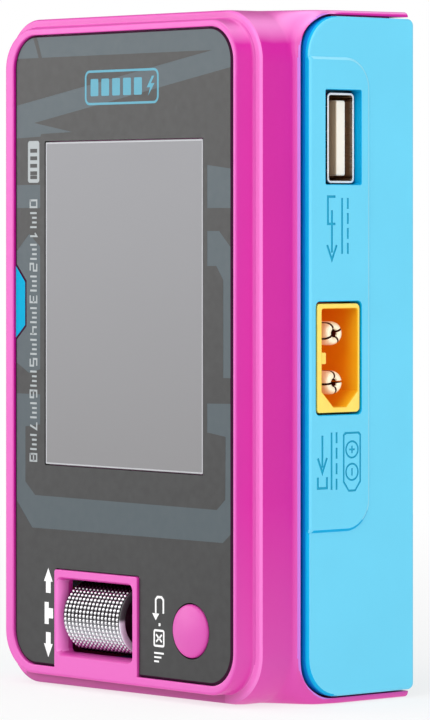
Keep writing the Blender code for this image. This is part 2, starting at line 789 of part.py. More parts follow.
def wheel_supports():
    """Cradle that carries the axle, and the encoder at its -X end."""
    axle_bore_r = 1.1
    cradle = block("wheel_cradle", (-15.75, 2.4), (3.3, 11.6), (8.2, 13.8), BLACK)
    cut(
        cradle,
        block("cradle_gap", (-14.0, 0.75), (-5, 10.85), (0, 20)),
        wheel_rod("cradle_bore", axle_bore_r, AXLE_CUT_X, 24),
    )
    encoder = block("encoder_body", (-20.2, -16.1), (3.1, 9.4), (7.4, 14.6), BLACK)
    cut(encoder, wheel_rod("encoder_bore", axle_bore_r, AXLE_CUT_X, 24))


# -------------------------------------------------------- switches and button
def switch(name, x, z, front, stem_front):
    """A push switch on the control board with a sliding stem."""
    half, well_r, stem_r = 3.0, 2.0, 1.7
    body = block(name + "_body", around(x, half), (front, CONTROL_D[0] - 0.3),
                 around(z, half), BLACK)
    cut(body, rod(name + "_well", "Y", well_r, (front - 3, front + 2.1), (x, 0, z), 20))
    rod(name + "_stem", "Y", stem_r, (stem_front, front + 1.6), (x, 0, z), 20, WHITE)


def exit_button():
    # (radius, height in front of the rim): domed cap, flange, then stem
    profile = [
        (0, 0.45), (1.6, 0.38), (2.8, 0.2), (3.6, -0.1), (KEY_R, -0.5), (KEY_R, -2.9),
        (4.9, -2.9), (4.9, -3.7), (1.6, -3.7), (1.6, -10.1), (0, -10.1),
    ]
    facing_front = (math.pi / 2, 0, 0)
    turned("exit_button", profile, (KEY_X, 0, KEY_Z), PINK, segments=32, rotation=facing_front)


# ---------------------------------------------------------------------- build
front_shell()
rear_shell()
front_panel()
display()
lcd_ribbon()
boards()
usb_port()
input_port()
for number, z in enumerate(OUTPUT_Z, 1):
    output_port(number, z)
for number, z in enumerate(BALANCE_Z, 1):
    balance_socket(number, z)
inductors()
capacitors()
heatsink()
buzzer()
fan_frame()
fan_stator()
fan_impeller()
screws()
feet()
scroll_wheel()
wheel_supports()
switch("wheel_switch", -6.6, WHEEL_Z, front=12.6, stem_front=11.9)
switch("exit_switch", KEY_X, KEY_Z, front=11.4, stem_front=10.4)
exit_button()
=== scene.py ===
"""Balance battery charger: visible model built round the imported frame.

It stands upright with z up. The front, with overlay, wheel and button, faces -Y and the
fan grille faces +Y. The input side is +X and the output side is -X.

Lengths are in millimetres and turned into metres by the helpers. Depth is measured from
the front rim plane towards the back, as in the CAD.
"""
import math

import bmesh
import bpy
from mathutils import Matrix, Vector


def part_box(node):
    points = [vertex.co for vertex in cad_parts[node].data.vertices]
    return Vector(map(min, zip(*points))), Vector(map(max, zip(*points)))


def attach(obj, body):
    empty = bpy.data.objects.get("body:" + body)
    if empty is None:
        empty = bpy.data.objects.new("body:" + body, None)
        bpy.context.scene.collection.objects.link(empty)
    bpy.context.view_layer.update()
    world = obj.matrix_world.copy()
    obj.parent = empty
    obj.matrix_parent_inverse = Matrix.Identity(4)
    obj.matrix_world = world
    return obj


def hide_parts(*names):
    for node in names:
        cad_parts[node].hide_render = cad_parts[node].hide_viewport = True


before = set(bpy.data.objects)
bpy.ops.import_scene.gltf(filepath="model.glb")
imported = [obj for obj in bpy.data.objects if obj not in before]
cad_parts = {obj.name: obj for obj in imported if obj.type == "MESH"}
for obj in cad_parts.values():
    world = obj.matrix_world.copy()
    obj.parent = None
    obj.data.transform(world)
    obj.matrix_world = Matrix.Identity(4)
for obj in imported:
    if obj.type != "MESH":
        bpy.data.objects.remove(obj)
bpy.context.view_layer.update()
scene = bpy.context.scene
MM = 0.001
HALF_DEPTH = 15.8  # depth of the row frame's y = 0

# Places shared by several pieces
TOP = 102.2  # of the front shell, at its back
BACK = 32.2  # depth of the rear shell's back
POCKET_RIGHT, POCKET_LEFT = 25.49, 25.9  # overlay pocket, half widths
POCKET_LOW, POCKET_HIGH = 3.12, 99.46
POCKET_RADIUS = 5.2
SCREW_AT = [(side * 23.2, z) for side in (-1, 1) for z in (5.2, 97.0)]
FAN_Z = 51.1
FAN_SCREW_AT = [(side * 16.0, FAN_Z + up * 16.0) for side in (-1, 1) for up in (-1, 1)]
FOOT_AT = [(side * 22.5, z) for side in (-1, 1) for z in (17.0, 85.0)]
KEY = (15.62, 10.76)  # exit button's centre, x and z
WHEEL = (5.0, 11.0)  # wheel axis, depth and z
PIN_DEPTH = 16.5  # centre line of the power connectors
OUTPUTS = ((76.5, 92.5), (16.2, 32.2))  # z ranges of the output connectors
BALANCES = ((55.1, 75.0), (33.7, 53.6))  # z ranges of the balance sockets


# ------------------------------------------------------------------- outlines
def place(x, depth, z):
    return Vector((x * MM, (depth - HALF_DEPTH) * MM, z * MM))


def point(axis, along, across, up):
    """Axis Y: across is x, up is z. Axis X: across is depth, up is z.
    Axis Z: across is x, up is depth."""
    if axis == "Y":
        return place(across, along, up)
    if axis == "X":
        return place(along, across, up)
    return place(across, up, along)


def points(axis, along, outline):
    return [point(axis, along, across, up) for across, up in outline]


def corner_radii(radius):
    return list(radius) if isinstance(radius, (tuple, list)) else [radius] * 4


def rounded(left, right, low, high, radius, count):
    """Rounded rectangle. Four radii go high-high, low-high, low-low, high-low."""
    out = []
    corners = ((1, 1, 0), (-1, 1, 90), (-1, -1, 180), (1, -1, 270))
    for (side, rise, start), bend in zip(corners, corner_radii(radius)):
        bend = max(bend, 1e-3)
        across = (right if side > 0 else left) - side * bend
        up = (high if rise > 0 else low) - rise * bend
        for k in range(count + 1):
            angle = math.radians(start + 90.0 * k / count)
            out.append((across + bend * math.cos(angle), up + bend * math.sin(angle)))
    return out


def growing(left, right, low, high, radius, count):
    """A rounded rectangle as a function of its outward offset."""
    return lambda grow: rounded(
        left - grow, right + grow, low - grow, high + grow, radius + grow, count
    )


def circle(across, up, radius, count):
    angles = [2 * math.pi * k / count for k in range(count)]
    return [(across + radius * math.cos(a), up + radius * math.sin(a)) for a in angles]


def arc(across, up, radius, start, end, count):
    """Points of a circular arc, both ends included, angles in degrees."""
    angles = [math.radians(start + (end - start) * k / count) for k in range(count + 1)]
    return [(across + radius * math.cos(a), up + radius * math.sin(a)) for a in angles]


def bar(left, right, low, high):
    return [(left, low), (right, low), (right, high), (left, high)]


def stroke(line, width):
    """Closed outline of an open line drawn with a given width, with mitred corners."""
    left, right = [], []
    for k, (across, up) in enumerate(line):
        ways = []
        if k > 0:
            ways.append(Vector((across - line[k - 1][0], up - line[k - 1][1])).normalized())
        if k < len(line) - 1:
            ways.append(Vector((line[k + 1][0] - across, line[k + 1][1] - up)).normalized())
        normals = [Vector((-way.y, way.x)) for way in ways]
        mitre = sum(normals, Vector((0, 0)))
        mitre.normalize()
        reach = width / 2 / max(mitre.dot(normals[0]), 0.3)
        left.append((across + mitre.x * reach, up + mitre.y * reach))
        right.append((across - mitre.x * reach, up - mitre.y * reach))
    return left + list(reversed(right))


PLUS = [
    (-0.55, -0.13), (-0.13, -0.13), (-0.13, -0.55), (0.13, -0.55), (0.13, -0.13), (0.55, -0.13),
    (0.55, 0.13), (0.13, 0.13), (0.13, 0.55), (-0.13, 0.55), (-0.13, 0.13), (-0.55, 0.13),
]


# ---------------------------------------------------------- rings, for lofts
def softened(left, right, low, high, radius, start, end, start_edge, end_edge, count, edge_count):
    """Rings of a rounded block whose two end edges are rounded by start_edge and end_edge."""
    radii = corner_radii(radius)
    sign = 1 if end > start else -1
    quarter = [math.radians(90.0 * k / edge_count) for k in range(edge_count + 1)]

    def ring(along, inset):
        bends = [max(bend - inset, 0.02) for bend in radii]
        sides = (left + inset, right - inset, low + inset, high - inset)
        return (along, rounded(*sides, bends, count))

    rings = []
    if start_edge > 0:
        for t in quarter:
            along = start + sign * start_edge * (1 - math.cos(t))
            rings.append(ring(along, start_edge * (1 - math.sin(t))))
    else:
        rings.append(ring(start, 0))
    if end_edge > 0:
        for t in quarter:
            along = end - sign * end_edge * (1 - math.sin(t))
            rings.append(ring(along, end_edge * (1 - math.cos(t))))
    else:
        rings.append(ring(end, 0))
    return rings


def flared(shape, deep, face, out, edge, count):
    """Rings of a cutter that rounds the edge it cuts at the surface called face."""
    sign = 1 if out > face else -1
    rings = [(deep, shape(0.0)), (face - sign * edge, shape(0.0))]
    for k in range(1, count):
        t = math.radians(82.0 * k / (count - 1))
        along = face - sign * edge + sign * edge * math.sin(t)
        rings.append((along, shape(edge - edge * math.cos(t))))
    rings.append((out, shape(edge)))
    return rings


# --------------------------------------------------------------- mesh helpers
class Solid:
    """A mesh put together from closed parts."""

    def __init__(self):
        self.mesh = bmesh.new()

    def row(self, places):
        return [self.mesh.verts.new(p) for p in places]

    def bridge(self, near, far):
        for k in range(len(near)):
            m = (k + 1) % len(near)
            self.mesh.faces.new((near[k], near[m], far[m], far[k]))

    def cap(self, rows):
        if len(rows[0]) > 1:
            self.mesh.faces.new(list(reversed(rows[0])))
        if len(rows[-1]) > 1:
            self.mesh.faces.new(rows[-1])

    def skin(self, rings):
        """Closed skin through rings of equally many 3-D points."""
        rows = [self.row(ring) for ring in rings]
        for near, far in zip(rows, rows[1:]):
            self.bridge(near, far)
        self.cap(rows)
        return self

    def tube(self, rings):
        """Rings whose last joins the first, so the middle stays open."""
        rows = [self.row(ring) for ring in rings]
        for near, far in zip(rows, rows[1:] + rows[:1]):
            self.bridge(near, far)
        return self

    def loft(self, axis, rings):
        """Each ring is (place along the axis, outline)."""
        return self.skin([points(axis, along, outline) for along, outline in rings])

    def prism(self, axis, outline, start, end):
        return self.loft(axis, [(start, outline), (end, outline)])

    def prisms(self, axis, outlines, start, end):
        for outline in outlines:
            self.prism(axis, outline, start, end)
        return self

    def lathe(self, axis, centre, profile, count):
        """Turned solid. The profile is (radius, along); a radius of 0 is a pole."""
        rows = []
        for radius, along in profile:
            pole = radius < 1e-6
            outline = [centre] if pole else circle(*centre, radius, count)
            rows.append(self.row(points(axis, along, outline)))
        for near, far in zip(rows, rows[1:]):
            for k in range(count):
                m = (k + 1) % count
                if len(near) == 1:
                    corners = (near[0], far[m], far[k])
                elif len(far) == 1:
                    corners = (near[k], near[m], far[0])
                else:
                    corners = (near[k], near[m], far[m], far[k])
                self.mesh.faces.new(corners)
        self.cap(rows)
        return self

    def ring(self, axis, centre, profile, count):
        """Turned ring whose (radius, along) profile closes on itself."""
        return self.tube([points(axis, w, circle(*centre, r, count)) for r, w in profile])

    def frame(self, axis, outer, inner, start, end):
        """Prism between two outlines of equally many points."""
        rows = [[self.row(points(axis, w, line)) for line in (outer, inner)] for w in (start, end)]
        (outer0, inner0), (outer1, inner1) = rows
        pairs = ((outer0, outer1), (inner0, inner1), (outer0, inner0), (outer1, inner1))
        for k in range(len(outer)):
            m = (k + 1) % len(outer)
            for near, far in pairs:
                self.mesh.faces.new((near[k], near[m], far[m], far[k]))
        return self

    def build(self, name, paint):
        bmesh.ops.recalc_face_normals(self.mesh, faces=self.mesh.faces)
        mesh = bpy.data.meshes.new(name)
        self.mesh.to_mesh(mesh)
        self.mesh.free()
        obj = bpy.data.objects.new(name, mesh)
        scene.collection.objects.link(obj)
        mesh.materials.append(paint.mat)
        return obj


def cut(solid, paint, overlaps=False):
    """Boolean step. Overlaps is for cutters whose own parts overlap each other."""
    return ("DIFFERENCE", solid.build("cutter", paint), overlaps)


def join(solid, paint, overlaps=False):
    return ("UNION", solid.build("addition", paint), overlaps)


def carve(obj, steps):
    """Apply the boolean steps in order. Their cutters are used up."""
    for operation, other, overlaps in steps:
        mod = obj.modifiers.new("step", "BOOLEAN")
        mod.operation = operation
        mod.solver = "EXACT"
        mod.material_mode = "TRANSFER"
        mod.use_self = overlaps
        mod.object = other
    bpy.context.view_layer.update()
    graph = bpy.context.evaluated_depsgraph_get()
    mesh = bpy.data.meshes.new_from_object(obj.evaluated_get(graph), depsgraph=graph)
    mesh.name = obj.name
    obj.modifiers.clear()
    obj.data = mesh
    for _, other, _ in steps:
        data = other.data
        bpy.data.objects.remove(other, do_unlink=True)
        bpy.data.meshes.remove(data)


def tidy(obj, distance=0.002):
    """Merge the near-double vertices that booleans leave."""
    mesh = bmesh.new()
    mesh.from_mesh(obj.data)
    bmesh.ops.remove_doubles(mesh, verts=mesh.verts, dist=distance * MM)
    bmesh.ops.dissolve_degenerate(mesh, edges=mesh.edges, dist=distance * MM)
    mesh.to_mesh(obj.data)
    mesh.free()


def paint_faces(obj, paints, choose):
    """Append the paints as slots. choose(face, x, depth, z) gives a face's paint or None."""
    first = len(obj.data.materials)
    for paint in paints:
        obj.data.materials.append(paint.mat)
    for face in obj.data.polygons:
        centre = face.center
        paint = choose(face, centre.x / MM, centre.y / MM + HALF_DEPTH, centre.z / MM)
        if paint:
            face.material_index = first + paints.index(paint)


def piece(obj, node, body="housing", angle=34.0, weighted=True):
    """Shade a finished object, attach it to its body and hide the CAD node it replaces."""
    obj.data.shade_smooth()
    obj.data.set_sharp_from_angle(angle=math.radians(angle))
    if weighted:
        mod = obj.modifiers.new("normals", "WEIGHTED_NORMAL")
        mod.mode = "FACE_AREA_WITH_ANGLE"
        mod.weight = 50
        mod.keep_sharp = True
    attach(obj, body)
    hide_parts(node)


def node_x(name):
    """Range of a CAD node along x."""
    low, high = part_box(name)
    return low.x / MM, high.x / MM


# ------------------------------------------------------------------ materials
def linear(rgb):
    out = []
    for value in rgb:
        value = value / 255.0
        out.append(value / 12.92 if value <= 0.04045 else ((value + 0.055) / 1.055) ** 2.4)
    return (out[0], out[1], out[2], 1.0)


class Paint:
    """A Principled material with helpers for procedural inputs in row-frame metres.

    Colours of three values are sRGB bytes and those of four are linear.
    """

    def __init__(self, name, rgb, roughness, metallic=0.0, specular=None):
        self.mat = bpy.data.materials.new(name)
        self.mat.use_nodes = True
        self.tree = self.mat.node_tree
        self.shader = next(n for n in self.tree.nodes if n.type == "BSDF_PRINCIPLED")
        self.base = linear(rgb)
        self.set("Base Color", self.base)
        self.set("Roughness", roughness)
        self.set("Metallic", metallic)
        if specular is not None:
            self.set("Specular IOR Level", specular)
        self.mat.diffuse_color = self.base
        self.coords = self.add("ShaderNodeTexCoord")

    def set(self, name, value):
        self.shader.inputs[name].default_value = value

    def add(self, kind, **props):
        node = self.tree.nodes.new(kind)
        for key, value in props.items():
            setattr(node, key, value)
        return node

    def link(self, source, target):
        self.tree.links.new(source, target)

    def noise(self, scale, detail=3.0, rough=0.5, stretch=(1, 1, 1)):
        mapping = self.add("ShaderNodeMapping")
        mapping.inputs["Scale"].default_value = stretch
        self.link(self.coords.outputs["Object"], mapping.inputs["Vector"])
        tex = self.add("ShaderNodeTexNoise")
        tex.inputs["Scale"].default_value = scale
        tex.inputs["Detail"].default_value = detail
        tex.inputs["Roughness"].default_value = rough
        self.link(mapping.outputs["Vector"], tex.inputs["Vector"])
        return tex.outputs["Fac"]

    def ramp(self, socket, start, end, low=0.0, high=1.0, kind="LINEAR"):
        """Clamped ramp from low at start to high at end."""
        node = self.add("ShaderNodeMapRange", interpolation_type=kind)
        values = {"From Min": start, "From Max": end, "To Min": low, "To Max": high}
        for key, value in values.items():
            node.inputs[key].default_value = value
        self.link(socket, node.inputs["Value"])
        return node.outputs["Result"]

    def spread(self, socket, low, high, start=0.3, end=0.7):
        """Stretch a noise's middle values over low to high."""
        return self.ramp(socket, start, end, low, high)

    def component(self, socket, axis):
        node = self.add("ShaderNodeSeparateXYZ")
        self.link(socket, node.inputs["Vector"])
        return node.outputs[axis]

    def along(self, axis, start, end):
        """0 at start, 1 at end, in millimetres of the row frame (Y as depth)."""
        shift = HALF_DEPTH if axis == "Y" else 0.0
        part = self.component(self.coords.outputs["Object"], axis)
        return self.ramp(part, (start - shift) * MM, (end - shift) * MM)

    def facing(self, axis, start, end):
        """Ramp of the surface normal's component along an axis."""
        geometry = self.add("ShaderNodeNewGeometry")
        return self.ramp(self.component(geometry.outputs["Normal"], axis), start, end)

    def height(self, start, end):
        """Ramp by height in the world, so it stays put while the wheel turns."""
        geometry = self.add("ShaderNodeNewGeometry")
        part = self.component(geometry.outputs["Position"], "Z")
        return self.ramp(part, start * MM, end * MM, kind="SMOOTHSTEP")

    def vector(self, operation, socket, other=None):
        node = self.add("ShaderNodeVectorMath", operation=operation)
        self.link(socket, node.inputs[0])
        if other:
            node.inputs[1].default_value = other
        return node.outputs["Value" if operation == "LENGTH" else "Vector"]

    def mix(self, factor, first, second, blend="MIX"):
        node = self.add("ShaderNodeMix", data_type="RGBA", blend_type=blend)
        if isinstance(factor, (int, float)):
            node.inputs["Factor"].default_value = factor
        else:
            self.link(factor, node.inputs["Factor"])
        for key, value in (("A", first), ("B", second)):
            socket = [s for s in node.inputs if s.name == key and s.type == "RGBA"][0]
            if isinstance(value, tuple):
                socket.default_value = linear(value) if len(value) == 3 else value
            else:
                self.link(value, socket)
        return [s for s in node.outputs if s.type == "RGBA"][0]

    def colour(self, socket):
        self.link(socket, self.shader.inputs["Base Color"])

    def vary(self, amount, scale):
        """Slight uneven tone, as in moulded pigment."""
        shade = (1 - amount, 1 - amount, 1 - amount, 1.0)
        dark = self.mix(1.0, self.base, shade, "MULTIPLY")
        patches = self.spread(self.noise(scale, detail=4.0), low=0.0, high=1.0)
        self.colour(self.mix(patches, self.base, dark))

    def rough(self, low, high, scale):
        self.link(self.spread(self.noise(scale), low, high), self.shader.inputs["Roughness"])

    def bump(self, socket, strength, distance):
        """Bump on top of any earlier one."""
        node = self.add("ShaderNodeBump")
        node.inputs["Strength"].default_value = strength
        node.inputs["Distance"].default_value = distance * MM
        self.link(socket, node.inputs["Height"])
        normal = self.shader.inputs["Normal"]
        if normal.is_linked:
            self.link(normal.links[0].from_socket, node.inputs["Normal"])
        self.link(node.outputs["Normal"], normal)

    def glow(self, rgb, factor, strength):
        """Emission whose strength is a socket times a factor."""
        self.set("Emission Color", linear(rgb))
        node = self.add("ShaderNodeMath", operation="MULTIPLY")
        self.link(factor, node.inputs[0])
        node.inputs[1].default_value = strength
        self.link(node.outputs["Value"], self.shader.inputs["Emission Strength"])


def moulded(name, rgb, roughness=0.42, grain=0.25, vary=0.035, specular=None):
    """Spark-eroded moulded plastic. A vary of None leaves the tone to the caller."""
    paint = Paint(name, rgb, roughness, specular=specular)
    if vary is not None:
        paint.vary(vary, scale=90.0)
    paint.rough(roughness - 0.05, roughness + 0.05, scale=900.0)
    paint.bump(paint.noise(4500.0, detail=2.0, rough=0.6), strength=grain, distance=0.012)
    paint.bump(paint.noise(260.0, detail=2.0), strength=0.08, distance=0.05)
    return paint


def metal(name, rgb, roughness, stretch=(1, 1, 1), streak=2500.0, depth=0.006, vary=0.08,
          metallic=1.0):
    """Plated or machined metal with fine marks, directional where stretch is uneven."""
    paint = Paint(name, rgb, roughness, metallic)
    if vary is not None:
        paint.vary(vary, scale=400.0)
    lines = paint.noise(streak, rough=0.55, stretch=stretch)
    gloss = paint.spread(lines, low=roughness - 0.07, high=roughness + 0.1)
    paint.link(gloss, paint.shader.inputs["Roughness"])
    paint.bump(lines, strength=0.3, distance=depth)
    return paint


def film(name, top, bottom=None, roughness=0.36, grey=0.05, specular=0.36):
    """Printed overlay colour under a satin surface, darker towards the bottom as painted shade
    where a bottom colour is given. Grey is the share of grey specks.
    """
    paint = Paint(name, top, roughness, specular=specular)
    # painted shade: darker towards the bottom
    tone = paint.mix(paint.along("Z", start=96.0, end=40.0), top, bottom or top)
    specks = paint.spread(paint.noise(700.0, detail=2.0), low=0.0, high=grey)
    paint.colour(paint.mix(specks, tone, (0.16, 0.17, 0.175, 1.0)))
    paint.rough(roughness - 0.03, roughness + 0.04, scale=1200.0)
    paint.bump(paint.noise(5200.0, detail=1.0), strength=0.12, distance=0.006)
    return paint


def magenta(name, front_sheen):
    """Body magenta with painted light: a painted sheen on faces towards the front, a painted
    highlight on upward faces that grows paler towards the right, painted shade on the flat top, and
    painted bounce light that makes it paler towards the bottom and on the underside.
    """
    paint = moulded(name, (208, 12, 157), roughness=0.40)
    base = paint.shader.inputs["Base Color"].links[0].from_socket
    # painted bounce light: paler towards the bottom
    base = paint.mix(paint.along("Z", start=30.0, end=3.0), base, (212, 69, 169))
    # painted sheen on faces towards the front
    front = paint.mix(paint.facing("Y", start=-0.25, end=-1.0), base, front_sheen)
    # painted highlight on upward faces, paler towards the right
    above = paint.mix(paint.along("X", start=20.0, end=27.0), (204, 66, 160), (244, 146, 216))
    upper = paint.mix(paint.facing("Z", start=0.36, end=0.72), front, above)
    # painted shade on the flat top
    flat_top = paint.mix(paint.facing("Z", start=0.8, end=1.0), upper, (190, 60, 150))
    # painted bounce light on downward faces
    paint.colour(paint.mix(paint.facing("Z", start=-0.15, end=-0.8), flat_top, (222, 60, 172)))
    return paint


def ledge_magenta():
    """Front ledge of the body with painted light: a painted highlight towards the right, and
    painted shade on the left that is darker below z 40.
    """
    paint = moulded("moulded_magenta_ledge", (238, 120, 204), roughness=0.4, vary=None)
    left = paint.mix(paint.along("Z", start=40.0, end=60.0), (176, 66, 140), (206, 74, 168))
    paint.colour(paint.mix(paint.along("X", start=18.5, end=26.5), left, (238, 120, 204)))
    return paint


pink = magenta("moulded_magenta", front_sheen=(214, 86, 177))
pink_key = magenta("moulded_magenta_key", front_sheen=(204, 74, 166))
pink_ledge = ledge_magenta()
# painted highlight: a lit copy of the magenta for the left slope of the wheel opening
pink_slope = moulded("moulded_magenta_slope", (238, 120, 204), roughness=0.4)
# painted shade: a dark copy of the magenta for the lower ledge near the floor
pink_low = moulded("moulded_magenta_underside", (176, 66, 140), roughness=0.45)
# painted highlight: a lilac line on the flange's outer edge
pink_edge = moulded("moulded_magenta_edge", (196, 120, 222), roughness=0.4)
# painted shade: dark mauve for the overlay pocket's walls
pocket_wall = moulded("moulded_pocket_wall", (112, 44, 92), roughness=0.5, specular=0.2)
blue = moulded("moulded_sky_blue", (103, 210, 243), roughness=0.46)
# painted shade: deep blue for the plates' front-facing edges, the input side's opening walls and
# the pads' lower edges
blue_edge = moulded("moulded_blue_front_edge", (0, 172, 226), roughness=0.5, specular=0.12)
# painted highlight on the pads' rounded edges
blue_glint = moulded("moulded_blue_soft_edge", (146, 224, 248), roughness=0.4)
# painted shade: darker blue for the floors of the engraved signs
blue_mark = moulded("moulded_blue_engraved", (38, 172, 208), roughness=0.6, specular=0.2)
blue_gap = moulded("moulded_blue_in_shade", (4, 124, 214), roughness=0.6, specular=0.1)
ivory = moulded("moulded_ivory", (246, 232, 205), roughness=0.45)
white_nylon = moulded("moulded_white_nylon", (236, 234, 226), roughness=0.5)
black = moulded("moulded_black", (26, 26, 29), roughness=0.48)
rubber = moulded("ribbed_rubber", (24, 24, 25), roughness=0.85, grain=0.6)
steel = metal("plated_steel", (214, 212, 208), roughness=0.24)
zinc = metal("zinc_screw", (168, 170, 174), roughness=0.32)
gold = metal("gold_plate", (255, 226, 160), roughness=0.3, metallic=0.85)
fan_paint = moulded("fan_black", (24, 25, 28), roughness=0.42)

film_dark = film("overlay_dark", (47, 46, 45), (40, 40, 40))
film_light = film("overlay_light", (66, 78, 84), (62, 74, 80))
film_cyan = film("overlay_cyan", (0, 156, 196), roughness=0.5, grey=0.01, specular=0.05)
film_badge = film("overlay_pale_cyan", (74, 150, 172))
film_white = film("overlay_white", (238, 238, 238))
film_text = film("overlay_pale_grey", (160, 166, 168))
# dark plum: print for the accent's outline, painted shadow for the band round the sheet's edge
film_outline_and_shade = film("overlay_outline", (52, 10, 40), roughness=0.7, grey=0.01, specular=0.05)

# ----------------------------------------------------------- front shell skin
BODY_HALF = 28.18  # half width of the body in front of the side plates
BODY_RADIUS, STRIP_RADIUS = 8.0, 0.7  # corners of the body and of the strips behind
BODY_END = 8.6  # depth where the corners start to change
STRIP_END = 31.85
# Room for the rear shell's side plates
ROOM_FRONT, ROOM_LOW, ROOM_HIGH, ROOM_RADIUS = 10.08, 0.87, 101.46, 6.3
# The body widens in a small flare round the room's corners: (share of its run, widening)
FLARE = (
    (0.0, 0.0), (0.2, 0.025), (0.4, 0.107), (0.52, 0.19), (0.62, 0.295), (0.7, 0.413),
    (0.76, 0.55), (0.82, 0.67), (0.88, 0.735), (0.94, 0.765), (1.0, 0.77),
)
FLARE_FULL = FLARE[-1][1]
QUADRANT = 22  # steps in each quarter of a skin ring
HEIGHTS = [9.0 * (1 - math.sin(math.radians(90.0 * j / QUADRANT))) for j in range(QUADRANT + 1)]


def smooth(value, start, end):
    t = min(max((value - start) / (end - start), 0.0), 1.0)
    return t * t * (3 - 2 * t)


def top_at(depth):
    """The top wall rises slightly towards the back."""
    return TOP - 0.27 * (30.9 - max(depth, 3.1)) / 27.8


def rim(depth, offset):
    """Ring offset from the pocket: widest on the left, then below, narrow on the right.
    Gives depth, right, left, low, high, then corner half axes: right, left, top, low."""
    if offset <= 1.06:
        right, left, low = 0.68 * offset, 1.98 * offset, 1.3 * offset
    else:
        past = max((offset - 1.10) / 0.42, 0.0)
        right, left, low = offset, 2.105 + 0.025 * past, 1.40 + 0.22 * past
    sides = (POCKET_RIGHT + right, POCKET_LEFT + left, POCKET_LOW - low, POCKET_HIGH + offset)
    half_axes = [POCKET_RADIUS + k for k in (right, 0.72 * left, 0.85 * offset, 0.8 * low)]
    return (depth, *sides, *half_axes)


def forward(x, depth):
    """The body's front ledge lies deep behind the rim on the right and comes forward
    to the left."""
    if depth < 2.6 or depth > 4.0:
        return 0.0
    return 2.08 * smooth(22.0 - x, 0.0, 50.0)


def planar_ring(depth, right, left, low, high, axis_right, axis_left, axis_top, axis_low):
    """Front ring with as many points as the wrapped ones, with elliptical corners."""

    def quadrant(half, wide, tall):
        out = []
        for j in range(QUADRANT + 1):
            t = math.radians(90.0 * (j - 2) / 20) if j > 2 else 0.0
            lift = (9.0 - tall) * (1 - j / 2.0) if j < 2 else 0.0
            x = half - wide + wide * math.cos(t)
            out.append((x, tall - tall * math.sin(t) + max(lift, 0.0)))
        return out

    out = [(x, high - h) for x, h in quadrant(right, axis_right, axis_top)]
    out += [(-x, high - h) for x, h in reversed(quadrant(left, axis_left, axis_top))]
    out += [(-x, low + h) for x, h in quadrant(left, axis_left, axis_low)]
    out += [(x, low + h) for x, h in reversed(quadrant(right, axis_right, axis_low))]
    return [place(x, depth - forward(x, depth), z) for x, z in out]


def beyond(z, at_bottom):
    """How far a height is past the start of the room's corner rounding."""
    return (ROOM_LOW + ROOM_RADIUS) - z if at_bottom else z - (ROOM_HIGH - ROOM_RADIUS)


def line_depth(clear, z, at_bottom):
    """Depth of the line that runs a clearance outside the side plate's room."""
    past = beyond(z, at_bottom)
    radius = ROOM_RADIUS + clear
    if past <= 0:
        return ROOM_FRONT - clear
    depth = ROOM_FRONT + ROOM_RADIUS
    if past < radius:
        depth -= math.sqrt(radius * radius - past * past)
    return depth + 0.35 * (1.0 - clear) * (past / 7.0) ** 2


def flare_at(share):
    if share <= 0:
        return 0.0
    for (share0, wide0), (share1, wide1) in zip(FLARE, FLARE[1:]):
        if share <= share1:
            return wide0 + (wide1 - wide0) * (share - share0) / (share1 - share0)
    return FLARE_FULL


def side_at(depth, inward, z, at_bottom):
    """Half width of the skin at a depth and a distance inward from the top or bottom."""
    radius = BODY_RADIUS + (STRIP_RADIUS - BODY_RADIUS) * smooth(depth, BODY_END, 14.8)
    x = BODY_HALF
    if inward < radius:
        x = x - radius + math.sqrt(max(radius * radius - (radius - inward) ** 2, 0.0))
    past = beyond(z, at_bottom)
    if past <= 0:
        far = ROOM_FRONT - depth
    elif depth < ROOM_FRONT + ROOM_RADIUS:
        far = math.hypot(ROOM_FRONT + ROOM_RADIUS - depth, past) - ROOM_RADIUS
    else:
        far = past - ROOM_RADIUS
    return x + max(flare_at(1.0 - far), FLARE_FULL * smooth(depth, 13.8, 18.3))


def wrapped_ring(depth_of, inset=0.0):
    """3-D ring round the skin. depth_of(z, at_bottom) gives the depth of each point."""
    halves = []
    for at_bottom in (False, True):
        out = []
        for inward in HEIGHTS:
            z = inward if at_bottom else 102.1 - inward
            depth = depth_of(z, at_bottom)
            z = inward if at_bottom else top_at(depth) - inward
            x = side_at(depth, inward, z, at_bottom) - inset
            out.append((x, depth, z + inset if at_bottom else z - inset))
        halves.append(out)
    upper, lower = halves
    ring = upper + [(-x, depth, z) for x, depth, z in reversed(upper)]
    ring += [(-x, depth, z) for x, depth, z in lower] + lower[::-1]
    return [place(*p) for p in ring]


